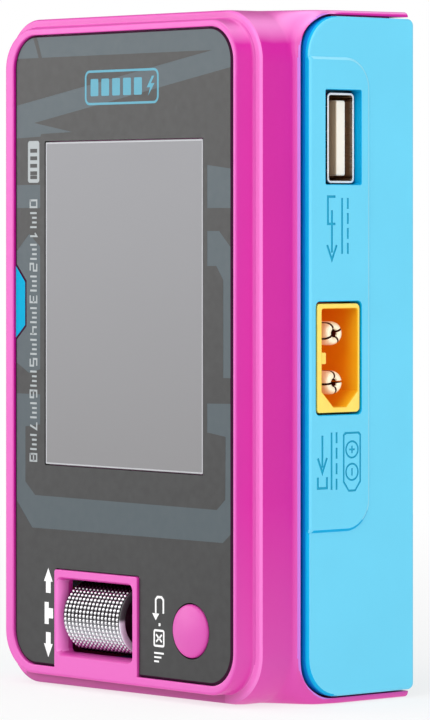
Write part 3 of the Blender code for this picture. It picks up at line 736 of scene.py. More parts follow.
def front_rings():
    planar = [rim(1.5, 0.0), rim(0.2, 0.0)]
    planar += [rim(depth, out) for out, depth in arc(0.18, 0.18, 0.18, 180, 270, 4)]
    planar += [rim(depth, out) for out, depth in arc(0.68, 0.38, 0.38, 270, 360, 5)]
    planar += [rim(2.65, 1.10)]
    planar += [rim(depth, out) for out, depth in arc(1.52, 2.65, 0.42, 180, 90, 4)[1:]]
    for right, depth in arc(27.70, 3.55, 0.48, 270, 360, 5):
        # convex shoulder of the body
        k = BODY_HALF - right
        sides = (right, BODY_HALF - 0.25 * k, 0.3 + 1.2 * k, top_at(3.5) - k)
        planar.append((depth, *sides, 8.0 - k, 6.9 - 0.25 * k, 7.5 - k, 7.5 - k))
    planar.append((4.6, BODY_HALF, BODY_HALF, 0.1, top_at(4.6), 8.0, 7.3, 7.7, 7.7))
    planar.append((6.0, BODY_HALF, BODY_HALF, 0, top_at(6.0), 8.0, 7.6, 7.9, 7.9))
    rings = [planar_ring(*ring) for ring in planar]

    def between(start, end, share):
        """Ring a share of the way between two depth functions."""
        return wrapped_ring(
            lambda z, low: start(z, low) + (end(z, low) - start(z, low)) * share
        )

    def body_end(z, at_bottom):
        return BODY_END

    def flare_start(z, at_bottom):
        return line_depth(1.0, z, at_bottom)

    def flare_end(z, at_bottom):
        return line_depth(0.0, z, at_bottom)

    rings += [between(body_end, flare_start, k / 12.0) for k in range(13)]
    for share, _ in FLARE[1:]:
        rings.append(wrapped_ring(lambda z, low: line_depth(1.0 - share, z, low)))
    for k in range(1, 5):
        rings.append(between(flare_end, lambda z, low: 19.0, k / 4.0))
    edge = 0.25
    rings.append(wrapped_ring(lambda z, low: STRIP_END - edge))
    for k in range(1, 4):
        t = math.radians(30.0 * k)
        depth = STRIP_END - edge + edge * math.sin(t)
        rings.append(wrapped_ring(lambda z, low: depth, inset=0.2 * (1 - math.cos(t))))
    return rings


# ---------------------------------------------------------------- front shell
VENT_X = [2.5 + 5.0 * i for i in range(-3, 3)]


def wheel_hole(grow):
    return rounded(
        -14.58 - 0.52 * grow, 2.42 + 0.2 * grow, 5.4 - 0.34 * grow, 16.5 + 0.28 * grow,
        0.75 + 0.25 * grow, 6,
    )


def front_steps():
    wheel_frame = softened(
        -15.9, 3.72, 2.45, 18.0, (0.45, 0.45, 0.1, 0.1), 0.008, 2.8, 0.16, 0, 6, 4
    )
    hollow = rounded(-26.18, 26.18, 2.0, 100.2, 6.0, 8)
    room_radii = (0.1, ROOM_RADIUS, ROOM_RADIUS, 0.1)
    room = rounded(ROOM_FRONT, 45.0, ROOM_LOW, ROOM_HIGH, room_radii, 20)
    steps = [
        join(Solid().loft("Y", wheel_frame), pink),
        cut(Solid().prism("Y", hollow, 2.6, 42.0), pink),
        cut(Solid().prism("X", room, -40, 40), pink),
    ]
    # ribs inside the bottom and top walls
    for low, high in ((0.4, 2.0), (100.2, 101.75)):
        rib = rounded(-19.9, 19.9, low, high, 0.2, 2)
        wide_rib = rounded(-27.4, 27.4, low + 0.01, high - 0.01, 0.2, 2)
        steps.append(join(Solid().prism("Y", rib, 9.0, 29.5), pink))
        steps.append(join(Solid().prism("Y", wide_rib, 17.5, 29.3), pink))
    # screw bosses and their bores
    for x, z in SCREW_AT:
        steps.append(join(Solid().prism("Y", circle(x, z, 2.2, 32), 2.2, 29.5), pink))
    bores = [circle(x, z, 1.3, 24) for x, z in SCREW_AT]
    steps.append(cut(Solid().prisms("Y", bores, 14.0, 42.0), pink))
    # openings for display, wheel and button
    aperture = rounded(-17.73, 17.57, 34.65, 82.33, 0.4, 3)
    wheel_rings = flared(wheel_hole, 3.7, 0.0, -1.0, 1.8, 9)
    steps.append(cut(Solid().prism("Y", aperture, -1, 3.6), pink))
    steps.append(cut(Solid().loft("Y", wheel_rings), pink))
    steps.append(cut(Solid().prism("Y", circle(*KEY, 4.3, 64), -1, 3.6), pink))
    # vents through the bottom, then the top
    for deep, face, out in ((5.0, 0.0, -2.0), (TOP - 5.0, top_at(20.0), TOP + 2.0)):
        vents = Solid()
        for x in VENT_X:
            vent = growing(x - 1.1, x + 1.1, 14.0, 26.0, 1.08, 6)
            vents.loft("Z", flared(vent, deep, face, out, 0.35, 4))
        steps.append(cut(vents, pink))
    return steps


def outside_pocket(x, z):
    """Distance in front view from the outline of the overlay pocket."""
    middle = (POCKET_HIGH + POCKET_LOW) / 2
    half_height = (POCKET_HIGH - POCKET_LOW) / 2
    across = abs(x) - (POCKET_RIGHT - POCKET_RADIUS)
    up = abs(z - middle) - (half_height - POCKET_RADIUS)
    corner = math.hypot(max(across, 0.0), max(up, 0.0))
    return corner + min(max(across, up), 0.0) - POCKET_RADIUS


def front_face_paint(face, x, depth, z):
    normal = face.normal
    out_by = outside_pocket(x, z)
    # painted highlight on the ledge's right part
    if 2.7 < depth < 3.6 and normal.y < -0.45 and out_by > 1.5 and x > 18.0:
        return pink_ledge
    # painted shade along the bottom of the front, left of x 18
    if z < 1.68 and 0.5 < depth < 3.7 and normal.y < -0.1 and x <= 18.0 and out_by > 1.3:
        return pink_low
    in_wheel_frame = -16.2 < x < 4.2 and z < 18.4
    # painted shade on the overlay pocket's walls, outside the wheel frame
    at_wall = 0.19 < depth < 1.5 and -0.6 < out_by < 0.05
    if at_wall and abs(normal.y) < 0.3 and not in_wheel_frame:
        return pocket_wall
    # left side of the wheel opening, given a painted highlight
    if 0.02 < depth < 1.9 and -15.6 < x < -13.9 and 5.6 < z < 16.4 and normal.x > 0.3:
        return pink_slope
    # painted highlight on the flange's outer edge
    if abs(x) > 28.66 and 9.5 < depth < 15.5 and abs(normal.x) > 0.15:
        return pink_edge
    return None


front = Solid().skin(front_rings()).build("front_shell_skin", pink)
carve(front, front_steps())
tidy(front)
paint_faces(
    front, (pink_edge, pink_ledge, pink_low, pocket_wall, pink_slope), front_face_paint
)
piece(front, "front_shell")

# ----------------------------------------------------------------- rear shell
PLATE = 29.86  # half width over the side plates
PLATE_LOW, PLATE_HIGH = 1.17, 101.16
PLATE_EDGE = 0.55
PAD = 30.16  # half width over the raised pads
# Pad section: half width, outward offset, front depth
PAD_PROFILE = (
    (27.9, 0.06, 10.9), (29.6, 0.06, 10.71), (29.8, 0.06, 10.735), (29.9, 0.0, 10.78),
    (29.98, -0.1, 10.843), (30.08, -0.24, 10.964), (30.14, -0.4, 11.1), (30.16, -0.6, 11.25),
)


def plate_rings():
    rings = []
    for k in range(5):
        t = math.radians(90.0 * k / 4)
        inset = PLATE_EDGE * (1 - math.sin(t))
        radii = (1.0 - inset, 6.0 - inset, 6.0 - inset, 1.0 - inset)
        sides = (10.7 + inset, BACK - inset, PLATE_LOW + inset, PLATE_HIGH - inset)
        rings.append((-PLATE + PLATE_EDGE * (1 - math.cos(t)), rounded(*sides, radii, 12)))
    return rings + [(-x, outline) for x, outline in reversed(rings)]


def side_holes():
    """Openings for the connectors. The output side's are 0.3 wider at each end in z."""
    # the input side's openings take blue_edge, painted shade, on their walls
    holes = [
        (growing(14.0, 21.1, 76.4, 90.3, 0.25, 5), 1, 0.12, blue_edge),
        (growing(12.1, 21.1, 42.6, 59.2, 0.7, 5), 1, 0.15, blue_edge),
    ]
    for low, high in OUTPUTS:
        holes.append((growing(12.1, 20.9, low - 0.3, high + 0.3, 0.5, 5), -1, 0.15, blue))
    for low, high in BALANCES:
        holes.append((growing(13.3, 19.7, low - 0.3, high + 0.3, 0.3, 5), -1, 0.15, blue))
    return [
        cut(Solid().loft("X", flared(shape, side * 24.0, side * PAD, side * 35.0, edge, 4)), paint)
        for shape, side, edge, paint in holes
    ]


def grille():
    """Nine rows of slots filling a circle, split down the middle."""
    slots = Solid()
    for i in range(-4, 5):
        far = abs(i) * 4.0 + 1.1
        half = math.sqrt(max(18.2 ** 2 - far ** 2, 16.0))
        z = FAN_Z + 4.0 * i
        for left, right in ((-half, -0.9), (0.9, half)):
            def slot(grow):
                tall = grow * 0.8
                sides = (left - grow, right + grow, z - 1.1 - tall, z + 1.1 + tall)
                return rounded(*sides, 1.05 + tall, 6)
            slots.loft("Y", flared(slot, 27.0, BACK, BACK + 1.4, 0.4, 4))
    return slots


def seats():
    """Screw holes and foot recesses in the back: (radius, depth from the back)."""
    screw_seat = (
        (1.4, -5.2), (1.4, -1.0), (2.7, -1.0), (2.7, -0.18), (2.76, -0.07), (2.86, -0.015),
        (2.9, 1.4),
    )
    foot_seat = ((4.0, -0.5), (4.0, -0.15), (4.05, -0.06), (4.13, -0.01), (4.15, 1.4))
    solid = Solid()
    for at in SCREW_AT + FAN_SCREW_AT:
        solid.lathe("Y", at, [(r, BACK + w) for r, w in screw_seat], 48)
    for at in FOOT_AT:
        solid.lathe("Y", at, [(r, BACK + w) for r, w in foot_seat], 64)
    return solid


def side_marks():
    """Engraved signs on the input side: outlines in (depth, z)."""
    line = 0.36
    marks = [
        # power out: a long arrow that leaves a box, beside a direct-current sign
        stroke([(15.9, 74.6), (14.4, 74.6), (14.4, 70.6), (15.9, 70.6)], line),
        stroke([(15.2, 72.6), (15.2, 66.4)], line),
        stroke([(14.25, 67.5), (15.2, 65.35), (16.15, 67.5)], line),
        bar(17.05, 17.39, 66.2, 74.4),
    ]
    marks += [bar(18.2, 18.54, 66.2 + 2.2 * k, 67.8 + 2.2 * k) for k in range(4)]
    marks += [
        # power in: an arrow into a box, a direct-current sign
        stroke([(13.3, 39.6), (13.3, 34.9)], line),
        stroke([(12.4, 36.3), (13.3, 34.15), (14.2, 36.3)], line),
        stroke([(12.4, 33.5), (12.4, 31.9), (14.2, 31.9), (14.2, 33.5)], line),
        bar(14.95, 15.29, 31.6, 40.0),
    ]
    marks += [bar(15.95, 16.29, 31.6 + 2.27 * k, 33.2 + 2.27 * k) for k in range(4)]
    floor_x, out_x = 30.02, 31.0
    solid = Solid().prisms("X", marks, floor_x, out_x)

    # polarity drawing: outline with cut corners, plus above minus
    outer = [
        (17.4, 32.6), (18.5, 31.2), (19.9, 31.2), (21.0, 32.6),
        (21.0, 39.6), (20.6, 40.0), (17.8, 40.0), (17.4, 39.6),
    ]

    def inside(across, up):
        if across < 18.2 or across > 20.2:
            shift = 0.3 if across < 18.2 else -0.3
        else:
            shift = 0.12 if across < 19 else -0.12
        if up < 33:
            lift = 0.12 if up > 32 else 0.3
        else:
            lift = -0.12 if up < 39.8 else -0.3
        return across + shift, up + lift

    solid.frame("X", outer, [inside(*p) for p in outer], floor_x, out_x)
    centre, plus_z, minus_z = 19.2, 37.4, 34.1
    radius, half_line = 1.2, 0.14
    for z in (plus_z, minus_z):
        profile = bar(radius - half_line, radius + half_line, floor_x, out_x)
        solid.ring("X", (centre, z), profile, 32)
    solid.prism("X", [(centre + u, plus_z + v) for u, v in PLUS], floor_x, out_x)
    return solid.prism("X", bar(19.07, 19.33, 33.55, 34.65), floor_x, out_x)


def rear_steps():
    steps = []
    # a raised pad on each side
    for side, low, high in ((1, 25.4, 95.1), (-1, 12.0, 95.1)):
        pad = []
        for x, grow, front_depth in PAD_PROFILE:
            radii = (4.6 + grow, 0.5, 0.5, 4.6 + grow)
            sides = (front_depth, 22.9 + grow, low - grow, high + grow)
            pad.append((side * x, rounded(*sides, radii, 12)))
        steps.append(join(Solid().loft("X", pad), blue))
    channel = rounded(-28.0, 28.0, -5.0, 29.8, (0.8, 0.8, 0.1, 0.1), 5)
    steps.append(cut(Solid().prism("Z", channel, -5.0, 107.0), blue))
    steps += side_holes()
    steps.append(cut(grille(), blue))
    steps.append(cut(seats(), blue))
    # the signs' floors take the painted shade of blue_mark
    steps.append(cut(side_marks(), blue_mark, overlaps=True))
    return steps


def rear_face_paint(face, x, depth, z):
    # painted shade on the plates' front edges and the pads' lower edges, painted highlight on the
    # pads' other rounded edges
    if face.material_index != 0:
        return None
    normal, wide = face.normal, abs(x)
    sideways = abs(normal.x)
    if wide >= 28.1 and normal.y <= -0.05:
        if wide < 29.25 and sideways < 0.1 and depth < 16.8:
            return blue_gap
        below_pad = z < 25.4 and x > 0 and sideways < 0.9
        if depth < 17.0 and 29.2 < wide < 29.84 and (sideways < 0.72 or below_pad):
            return blue_edge
        if normal.y < -0.72 and depth < 11.3:
            return blue_edge
    if 29.88 < wide < 30.15 and 0.2 < sideways < 0.97 and depth > 11.6:
        return blue_edge if normal.z < -0.25 else blue_glint
    return None


rear = Solid().loft("X", plate_rings()).build("rear_shell_skin", blue)
carve(rear, rear_steps())
tidy(rear)
paint_faces(rear, (blue_edge, blue_gap, blue_glint), rear_face_paint)
piece(rear, "rear_shell")

# -------------------------------------------------------------------- overlay
# The sheet's front is at depth 0.4. Each printed layer is a shallow cut whose floor
# takes the layer's colour.
FIELD_DEPTH, BORDER_DEPTH, OUTLINE_DEPTH, PRINT_DEPTH, BARS_DEPTH = 0.412, 0.414, 0.416, 0.42, 0.425

# Lighter printed fields, as (x, z)
LIGHT_FIELDS = [
    [(-27, 101), (-27, 96.0), (20.43, 96.0), (-27, 88.55), (-27, 83.7), (-19.7, 83.95),
     (-19.49, 84.35), (-11.98, 84.54), (-21.2, 86.06), (27, 93.8), (27, 101)],
    [(-27, 73.03), (-19.74, 73.03), (-19.74, 76.57), (-27, 76.57)],
    [(-22.44, 69.04), (-27, 65.1), (-27, 50.0), (-22.44, 47.7), (-19.74, 48.35),
     (-19.74, 67.1)],
    [(-27, 44.5), (-19.74, 44.5), (-19.74, 39.9), (-23.35, 39.5), (-23.35, 31.0),
     (-20.96, 29.04), (21.45, 28.86), (23.31, 30.41), (23.4, 39.6), (19.31, 40.1),
     (19.31, 44.33), (27, 44.5), (27, 27.4), (24.64, 25.53), (22.8, 24.12), (-21.7, 24.02),
     (-27, 29.6)],
    [(19.31, 79.22), (27, 78.4), (27, 72.92), (19.31, 72.93)],
    [(19.31, 69.56), (21.98, 69.57), (27, 64.9), (27, 48.2), (22.87, 48.16), (22.87, 62.43),
     (21.32, 64.46), (19.31, 64.45)],
]
SLASH = [(-21.75, 99.8), (-20.85, 99.8), (-19.1, 95.5), (-19.9, 95.5)]

# Digits as strokes in a unit box, (right, up) with the head turned right
STROKES = {
    "0": [[(0.0, 0.0), (0.0, 1.0), (1.0, 1.0), (1.0, 0.0), (-0.12, 0.0)]],
    "1": [[(0.15, 0.72), (0.6, 1.0), (0.6, 0.0)]],
    "2": [[(0.0, 1.0), (1.0, 1.0), (1.0, 0.5), (0.0, 0.5), (0.0, 0.0), (1.0, 0.0)]],
    "3": [[(0.0, 1.0), (1.0, 1.0), (1.0, 0.0), (0.0, 0.0)], [(0.1, 0.5), (1.0, 0.5)]],
    "4": [[(0.0, 1.0), (0.0, 0.42), (1.0, 0.42)], [(1.0, 1.0), (1.0, 0.0)]],
    "5": [[(1.0, 1.0), (0.0, 1.0), (0.0, 0.5), (1.0, 0.5), (1.0, 0.0), (0.0, 0.0)]],
    "6": [[(1.0, 1.0), (0.0, 1.0), (0.0, 0.0), (1.0, 0.0), (1.0, 0.5), (0.0, 0.5)]],
    "7": [[(0.0, 1.0), (1.0, 1.0), (0.45, 0.0)]],
    "8": [[(0.0, 0.0), (0.0, 1.0), (1.0, 1.0), (1.0, 0.0), (-0.12, 0.0)],
          [(0.0, 0.52), (1.0, 0.52)]],
}


def layer(depth, outlines, paint, frame_outlines=None):
    solid = Solid().prisms("Y", outlines, -1.0, depth)
    if frame_outlines:
        solid.frame("Y", *frame_outlines, -1.0, depth)
    return cut(solid, paint, overlaps=True)


def light_fields():
    fields = Solid().prisms("Y", LIGHT_FIELDS, -1.0, FIELD_DEPTH).build("fields", film_light)
    carve(fields, [cut(Solid().prism("Y", SLASH, -2.0, FIELD_DEPTH + 1), film_light)])
    return ("DIFFERENCE", fields, False)


def scale_marks():
    """Digits 0 to 8 running down the left edge, with four ticks between neighbours."""
    left, first_z, pitch = -22.2, 74.2, 4.86
    width, height, line = 1.05, 1.6, 0.3
    marks = []
    for number in range(9):
        z = first_z - pitch * number
        for path in STROKES[str(number)]:
            turned = [(left + up * height, z - right * width) for right, up in path]
            marks.append(stroke(turned, line))
        if number < 8:
            for k in range(4):
                tick_z = z - 1.95 - 0.72 * k
                start = left if k in (0, 3) else -21.75
                marks.append(bar(start, -20.6, tick_z - 0.15, tick_z + 0.15))
    return marks


def battery_layer():
    outer = rounded(-8.96, 8.33, 88.5, 93.75, 1.1, 6)
    inner = rounded(-8.56, 7.93, 88.86, 93.39, 0.74, 6)
    cells = [
        rounded(-7.6 + 2.55 * k, -5.75 + 2.55 * k, 89.85, 92.45, 0.2, 3) for k in range(5)
    ]
    zigzag = [
        (6.75, 92.6), (5.55, 90.9), (6.35, 90.9), (5.85, 89.6), (7.35, 91.5), (6.5, 91.5),
        (7.3, 92.6),
    ]
    return layer(PRINT_DEPTH, cells + [zigzag], film_badge, (outer, inner))


def signs_layer():
    """White signs beside the wheel and the button."""
    x = -17.75  # centre line of the wheel's signs
    signs = [
        # arrow up, arrow down, press sign between them
        [(x, 18.07), (x - 1.07, 16.0), (x - 0.58, 16.0), (x - 0.58, 14.25), (x + 0.58, 14.25),
         (x + 0.58, 16.0), (x + 1.07, 16.0)],
        [(x, 4.44), (x + 1.07, 6.5), (x + 0.58, 6.5), (x + 0.58, 8.25), (x - 0.58, 8.25),
         (x - 0.58, 6.5), (x - 1.07, 6.5)],
        [(x - 0.9, 9.48), (x + 0.1, 9.48), (x + 0.1, 10.4), (x + 1.15, 10.4),
         (x + 1.15, 11.95), (x + 0.1, 11.95), (x + 0.1, 12.84), (x - 0.9, 12.84)],
        # return arrow, dot, cross in a box
        stroke([(9.4, 12.9), (9.4, 14.9), (9.0, 15.3), (8.05, 15.3), (7.65, 14.9),
                (7.65, 12.9)], 0.36),
        [(7.65, 11.8), (8.45, 12.85), (6.85, 12.85)],
        rounded(8.3, 8.75, 11.0, 11.45, 0.1, 2),
        stroke([(7.75, 9.75), (8.35, 9.2), (7.75, 8.65)], 0.3),
        stroke([(9.05, 9.75), (8.45, 9.2), (9.05, 8.65)], 0.3),
    ]
    # three bars of falling length below
    signs += [bar(7.3, 9.5 - 0.55 * k, 6.85 - 0.62 * k, 7.12 - 0.62 * k) for k in range(3)]
    outer = rounded(7.15, 9.65, 7.9, 10.5, 0.35, 3)
    inner = rounded(7.47, 9.33, 8.22, 10.18, 0.1, 3)
    return layer(PRINT_DEPTH, signs, film_white, (outer, inner))


def overlay_steps():
    openings = (
        rounded(-18.63, 18.47, 33.75, 83.23, 0.25, 3),  # window
        rounded(-16.05, 3.87, -2.0, 18.15, 0.4, 5),  # wheel frame
        circle(*KEY, 4.15, 80),
    )
    steps = [cut(Solid().prism("Y", outline, -1, 3), film_dark) for outline in openings]
    steps.append(light_fields())
    # accent on the left edge, with its dark outline
    outline = [(-27, 66.0), (-27, 51.5), (-23.1, 54.85), (-23.1, 61.9)]
    accent = [(-27, 65.5), (-27, 52.0), (-23.45, 55.05), (-23.45, 61.65)]
    steps.append(layer(OUTLINE_DEPTH, [outline], film_outline_and_shade))
    steps.append(layer(PRINT_DEPTH, [accent], film_cyan))
    # pale label with plain cell bars
    label = rounded(-22.75, -19.95, 76.9, 83.3, 0.45, 4)
    bars = [bar(-22.2, -20.5, 81.5 - 1.15 * k, 82.1 - 1.15 * k) for k in range(4)]
    bars.append(rounded(-22.2, -20.5, 77.45, 78.0, 0.1, 2))
    steps.append(layer(PRINT_DEPTH, [label], film_text))
    steps.append(layer(BARS_DEPTH, bars, film_dark))
    steps.append(layer(PRINT_DEPTH, scale_marks(), film_text))
    # a dark band round the sheet's edge: painted shadow of the gap to the rim
    border = (
        rounded(-26.4, 26, 2.6, 100, 5.5, 14),
        rounded(-25.5, 24.46, 3.5, 99.12, 4.66, 14),
    )
    steps.append(layer(BORDER_DEPTH, [], film_outline_and_shade, border))
    steps.append(battery_layer())
    steps.append(signs_layer())
    return steps


def sheet_ring(depth, inset):
    sides = (-25.74 + inset, 25.34 - inset, 3.27 + inset, 99.31 - inset)
    return (depth, rounded(*sides, 5.05 - inset, 14))


sheet_rings = [sheet_ring(*k) for k in ((1.2, 0.0), (0.45, 0.0), (0.41, 0.015), (0.4, 0.05))]
panel = Solid().loft("Y", sheet_rings).build("overlay_sheet", film_dark)
carve(panel, overlay_steps())
tidy(panel, 0.0005)
piece(panel, "front_panel", angle=20.0)


# --------------------------------------------------------------------- window
def glass():
    paint = Paint("display_glass", (168, 168, 172), roughness=0.3)
    tone = paint.mix(paint.along("Z", start=83.2, end=33.8), (124, 124, 128), (119, 118, 120))
    clouds = paint.spread(paint.noise(45.0, detail=1.0), low=0.0, high=0.06)
    paint.colour(paint.mix(clouds, tone, (124, 124, 128)))
    paint.rough(0.30, 0.32, scale=60.0)
    paint.bump(paint.noise(90.0, detail=1.0), strength=0.03, distance=0.02)
    return paint


window_edge = Paint("display_edge", (172, 173, 177), roughness=0.3)
window_edge.vary(0.06, scale=500.0)
window_rings = softened(-18.48, 18.32, 33.9, 83.08, 0.2, 0.45, 1.2, 0.07, 0, 3, 3)
window = Solid().loft("Y", window_rings).build("display_window_glass", glass())
# a thin line sunk round the edge
line_outer = rounded(-18.41, 18.25, 33.97, 83.01, 0.15, 3)
line_inner = rounded(-18.2, 18.04, 34.18, 82.8, 0.05, 3)
carve(window, [cut(Solid().frame("Y", line_outer, line_inner, -1.0, 0.462), window_edge)])
piece(window, "display_window", angle=30.0)

# --------------------------------------------------------------- scroll wheel
WHEEL_LEFT, WHEEL_RIGHT = node_x("wheel_sleeve")
WHEEL_OUT, WHEEL_IN = 5.5, 4.2  # radii
KNURL = 0.3  # height of a knurl
ROUND, COLUMNS = 50, 15  # knurls round the wheel and along it
# One knurl: (share of its pitch, relative height), round the wheel and along it
CELL_ROUND = ((0.0, 0.12), (0.2, 0.78), (0.42, 1.0), (0.62, 1.0), (0.82, 0.78))
CELL_ALONG = ((0.0, 0.0), (0.17, 0.12), (0.36, 0.85), (0.5, 1.0), (0.64, 0.85), (0.83, 0.12))


def wheel_ring(x, radius, crest=0.0):
    ring = []
    for cell in range(ROUND):
        for share, height in CELL_ROUND:
            angle = 2 * math.pi * (cell + share) / ROUND
            reach = radius + KNURL * height * crest
            depth = WHEEL[0] + reach * math.cos(angle)
            ring.append(place(x, depth, WHEEL[1] + reach * math.sin(angle)))
    return ring


def wheel_rings():
    root = WHEEL_OUT - KNURL
    start, stop = WHEEL_LEFT + 0.35, WHEEL_RIGHT - 0.3
    pitch = (stop - start) / COLUMNS
    stations = [
        (WHEEL_LEFT + 0.3, WHEEL_IN), (WHEEL_LEFT + 0.1, WHEEL_IN + 0.05),
        (WHEEL_LEFT, WHEEL_IN + 0.2), (WHEEL_LEFT, root - 0.25),
        (WHEEL_LEFT + 0.08, root - 0.06), (WHEEL_LEFT + 0.25, root),
    ]
    for column in range(COLUMNS):
        for share, height in CELL_ALONG:
            stations.append((start + (column + share) * pitch, root, height))
    stations += [
        (stop, root), (WHEEL_RIGHT - 0.2, WHEEL_OUT - 0.14),
        (WHEEL_RIGHT - 0.08, WHEEL_OUT - 0.12), (WHEEL_RIGHT - 0.02, WHEEL_OUT - 0.17),
        (WHEEL_RIGHT, WHEEL_OUT - 0.26), (WHEEL_RIGHT, WHEEL_IN + 0.2),
        (WHEEL_RIGHT - 0.1, WHEEL_IN + 0.05), (WHEEL_RIGHT - 0.3, WHEEL_IN),
    ]
    return [wheel_ring(*station) for station in stations]


def knurled_paint():
    """Bright crests over grooves painted dark as shade, with painted shade by height as if under
    the shell: dark grooves above the axle, light ones below, and painted plum shade at the bottom
    and top where the wheel passes behind the frame.
    """
    paint = metal(
        "knurled_aluminium", (226, 228, 232), roughness=0.26, streak=3500.0, depth=0.004,
        vary=None,
    )
    centre = (0.0, (WHEEL[0] - HALF_DEPTH) * MM, WHEEL[1] * MM)
    away = paint.vector("SUBTRACT", paint.coords.outputs["Object"], centre)
    flat = paint.vector("MULTIPLY", away, (0.0, 1.0, 1.0))
    radius = paint.vector("LENGTH", flat)
    crests = paint.ramp(radius, start=5.24 * MM, end=5.46 * MM, kind="SMOOTHSTEP")
    # painted shade in the grooves: dark above the axle, light below
    groove = paint.mix(paint.height(start=8.8, end=11.6), (168, 168, 174), (34, 28, 33))
    crest = paint.mix(paint.height(start=8.0, end=12.0), (244, 244, 248), (236, 236, 238))
    tone = paint.mix(crests, groove, crest)
    # painted plum shade below and above, where the wheel passes behind the frame
    under = paint.mix(paint.height(start=5.9, end=6.5), (40, 6, 30), tone)
    paint.colour(paint.mix(paint.height(start=15.05, end=15.5), under, (34, 8, 26)))
    return paint


def end_face_paint():
    paint = metal(
        "turned_end_face", (150, 150, 153), roughness=0.5, streak=3000.0, depth=0.004,
        vary=None, metallic=0.25,
    )
    # painted light and shade: lit below the axle, dark above
    paint.colour(paint.mix(paint.height(start=10.7, end=11.5), (232, 226, 238), (74, 76, 76)))
    return paint


wheel_end = end_face_paint()
sleeve = Solid().tube(wheel_rings()).build("knurled_wheel", knurled_paint())
paint_faces(
    sleeve, (wheel_end,), lambda face, x, depth, z: wheel_end if x > WHEEL_RIGHT - 0.3 else None
)
piece(sleeve, "wheel_sleeve", body="scroll_wheel", angle=50.0, weighted=False)

hub_left, hub_right = node_x("wheel_hub")
HUB_BORE = 1.3
hub_profile = [
    (HUB_BORE, hub_left), (3.7, hub_left), (3.9, hub_left + 0.2), (3.9, hub_right - 0.2),
    (3.82, hub_right - 0.05), (3.7, hub_right), (3.3, hub_right), (3.15, hub_right - 0.35),
    (1.9, hub_right - 0.35), (1.75, hub_right), (HUB_BORE, hub_right),
]
hub_paint = moulded("hub_plum", (58, 8, 42), roughness=0.45)
hub = Solid().lathe("X", WHEEL, hub_profile, 64).build("wheel_hub_core", hub_paint)
hub_bore = circle(*WHEEL, HUB_BORE, 32)
carve(hub, [cut(Solid().prism("X", hub_bore, hub_left - 2, hub_right + 2), hub_paint)])
piece(hub, "wheel_hub", body="scroll_wheel")

axle_left, axle_right = node_x("wheel_axle")
axle_profile = [
    (0, axle_left), (0.8, axle_left), (1.0, axle_left + 0.2),
    (1.0, axle_right - 0.2), (0.8, axle_right), (0, axle_right),
]
axle = Solid().lathe("X", WHEEL, axle_profile, 40).build("wheel_axle_pin", steel)
piece(axle, "wheel_axle", body="scroll_wheel")

# ---------------------------------------------------------------- exit button
DOME_FRONT, DOME_RADIUS, DOME_REACH = -0.47, 13.5, 3.45


def button_profile():
    """(radius, depth): a shallow dome, a skirt with a flange, and a stem behind."""
    dome = []
    for k in range(9):
        reach = DOME_REACH * k / 8
        sag = DOME_RADIUS - math.sqrt(DOME_RADIUS ** 2 - reach * reach)
        dome.append((reach, DOME_FRONT + sag))
    edge = dome[-1][1]
    return dome + [
        (3.7, edge + 0.10), (3.86, edge + 0.24), (3.94, edge + 0.42), (3.95, edge + 0.62),
        (3.95, 2.75), (3.98, 2.9), (4.8, 2.9), (4.9, 3.0), (4.9, 3.6), (4.8, 3.7),
        (1.7, 3.7), (1.6, 3.8), (1.6, 10.0), (1.5, 10.1), (0, 10.1),
    ]


button = Solid().lathe("Y", KEY, button_profile(), 80).build("exit_button_cap", pink_key)
piece(button, "exit_button", body="exit_key", angle=40.0)

# ------------------------------------------------------------------- USB port
USB_LOW, USB_HIGH, USB_FACE = 76.6, 89.9, 28.9  # z range and the mouth's x
CONTACT_PITCH = 2.27


def usb_steel():
    """Steel, with warm painted shade inside the mouth."""
    paint = metal(
        "usb_shell_steel", (225, 222, 216), roughness=0.22, stretch=(0.12, 1, 1),
        streak=3000.0, depth=0.004, vary=None,
    )
    inside = paint.along("X", start=28.9, end=28.1)
    paint.colour(paint.mix(inside, (236, 236, 234), (188, 160, 136)))
    return paint


def usb_steps(paint):
    mouth = growing(15.79, 20.5, 76.94, 89.57, 0.4, 5)
    steps = [cut(Solid().loft("X", flared(mouth, 12.0, USB_FACE, 31.0, 0.08, 4)), paint)]
    for x in (17.5, 25.0):
        for low, high in ((USB_LOW, 76.95), (89.55, USB_HIGH)):
            leg = [
                (12.3, rounded(x - 1, x + 1, low, high, 0.1, 2)),
                (16.5, rounded(x - 1, x + 1, low + 0.002, high - 0.002, 0.1, 2)),
            ]
            steps.append(join(Solid().loft("Y", leg), paint))
    # spring windows pressed into the wide sides
    for z in (80.4, 86.4):
        slots = [
            rounded(20.6, 25.4, z - 1.35, z - 1.1, 0.05, 2),
            rounded(20.6, 25.4, z + 1.1, z + 1.35, 0.05, 2),
            rounded(25.5, 25.75, z - 1.35, z + 1.35, 0.05, 2),
        ]
        steps.append(cut(Solid().prisms("Y", slots, 14.0, 22.0), paint))
    return steps


usb_paint = usb_steel()
usb_rings = softened(15.45, 20.8, USB_LOW, USB_HIGH, 0.7, 14.9, USB_FACE, 0, 0.07, 6, 3)
usb = Solid().loft("X", usb_rings).build("usb_shell_skin", usb_paint)
carve(usb, usb_steps(usb_paint))
tidy(usb)
# painted highlight: near-white, little metallic, on the mouth's rim
usb_lip = metal(
    "usb_lip_bright", (252, 252, 252), roughness=0.3, streak=3000.0, depth=0.003, vary=0.03,
    metallic=0.1,
)
paint_faces(
    usb, (usb_lip,),
    lambda face, x, depth, z: usb_lip if x > USB_FACE - 0.1 and face.normal.x > 0.3 else None,
)
piece(usb, "usb_shell")

tongue_paint = moulded("usb_tongue_ivory", (250, 240, 222), roughness=0.42, vary=None)
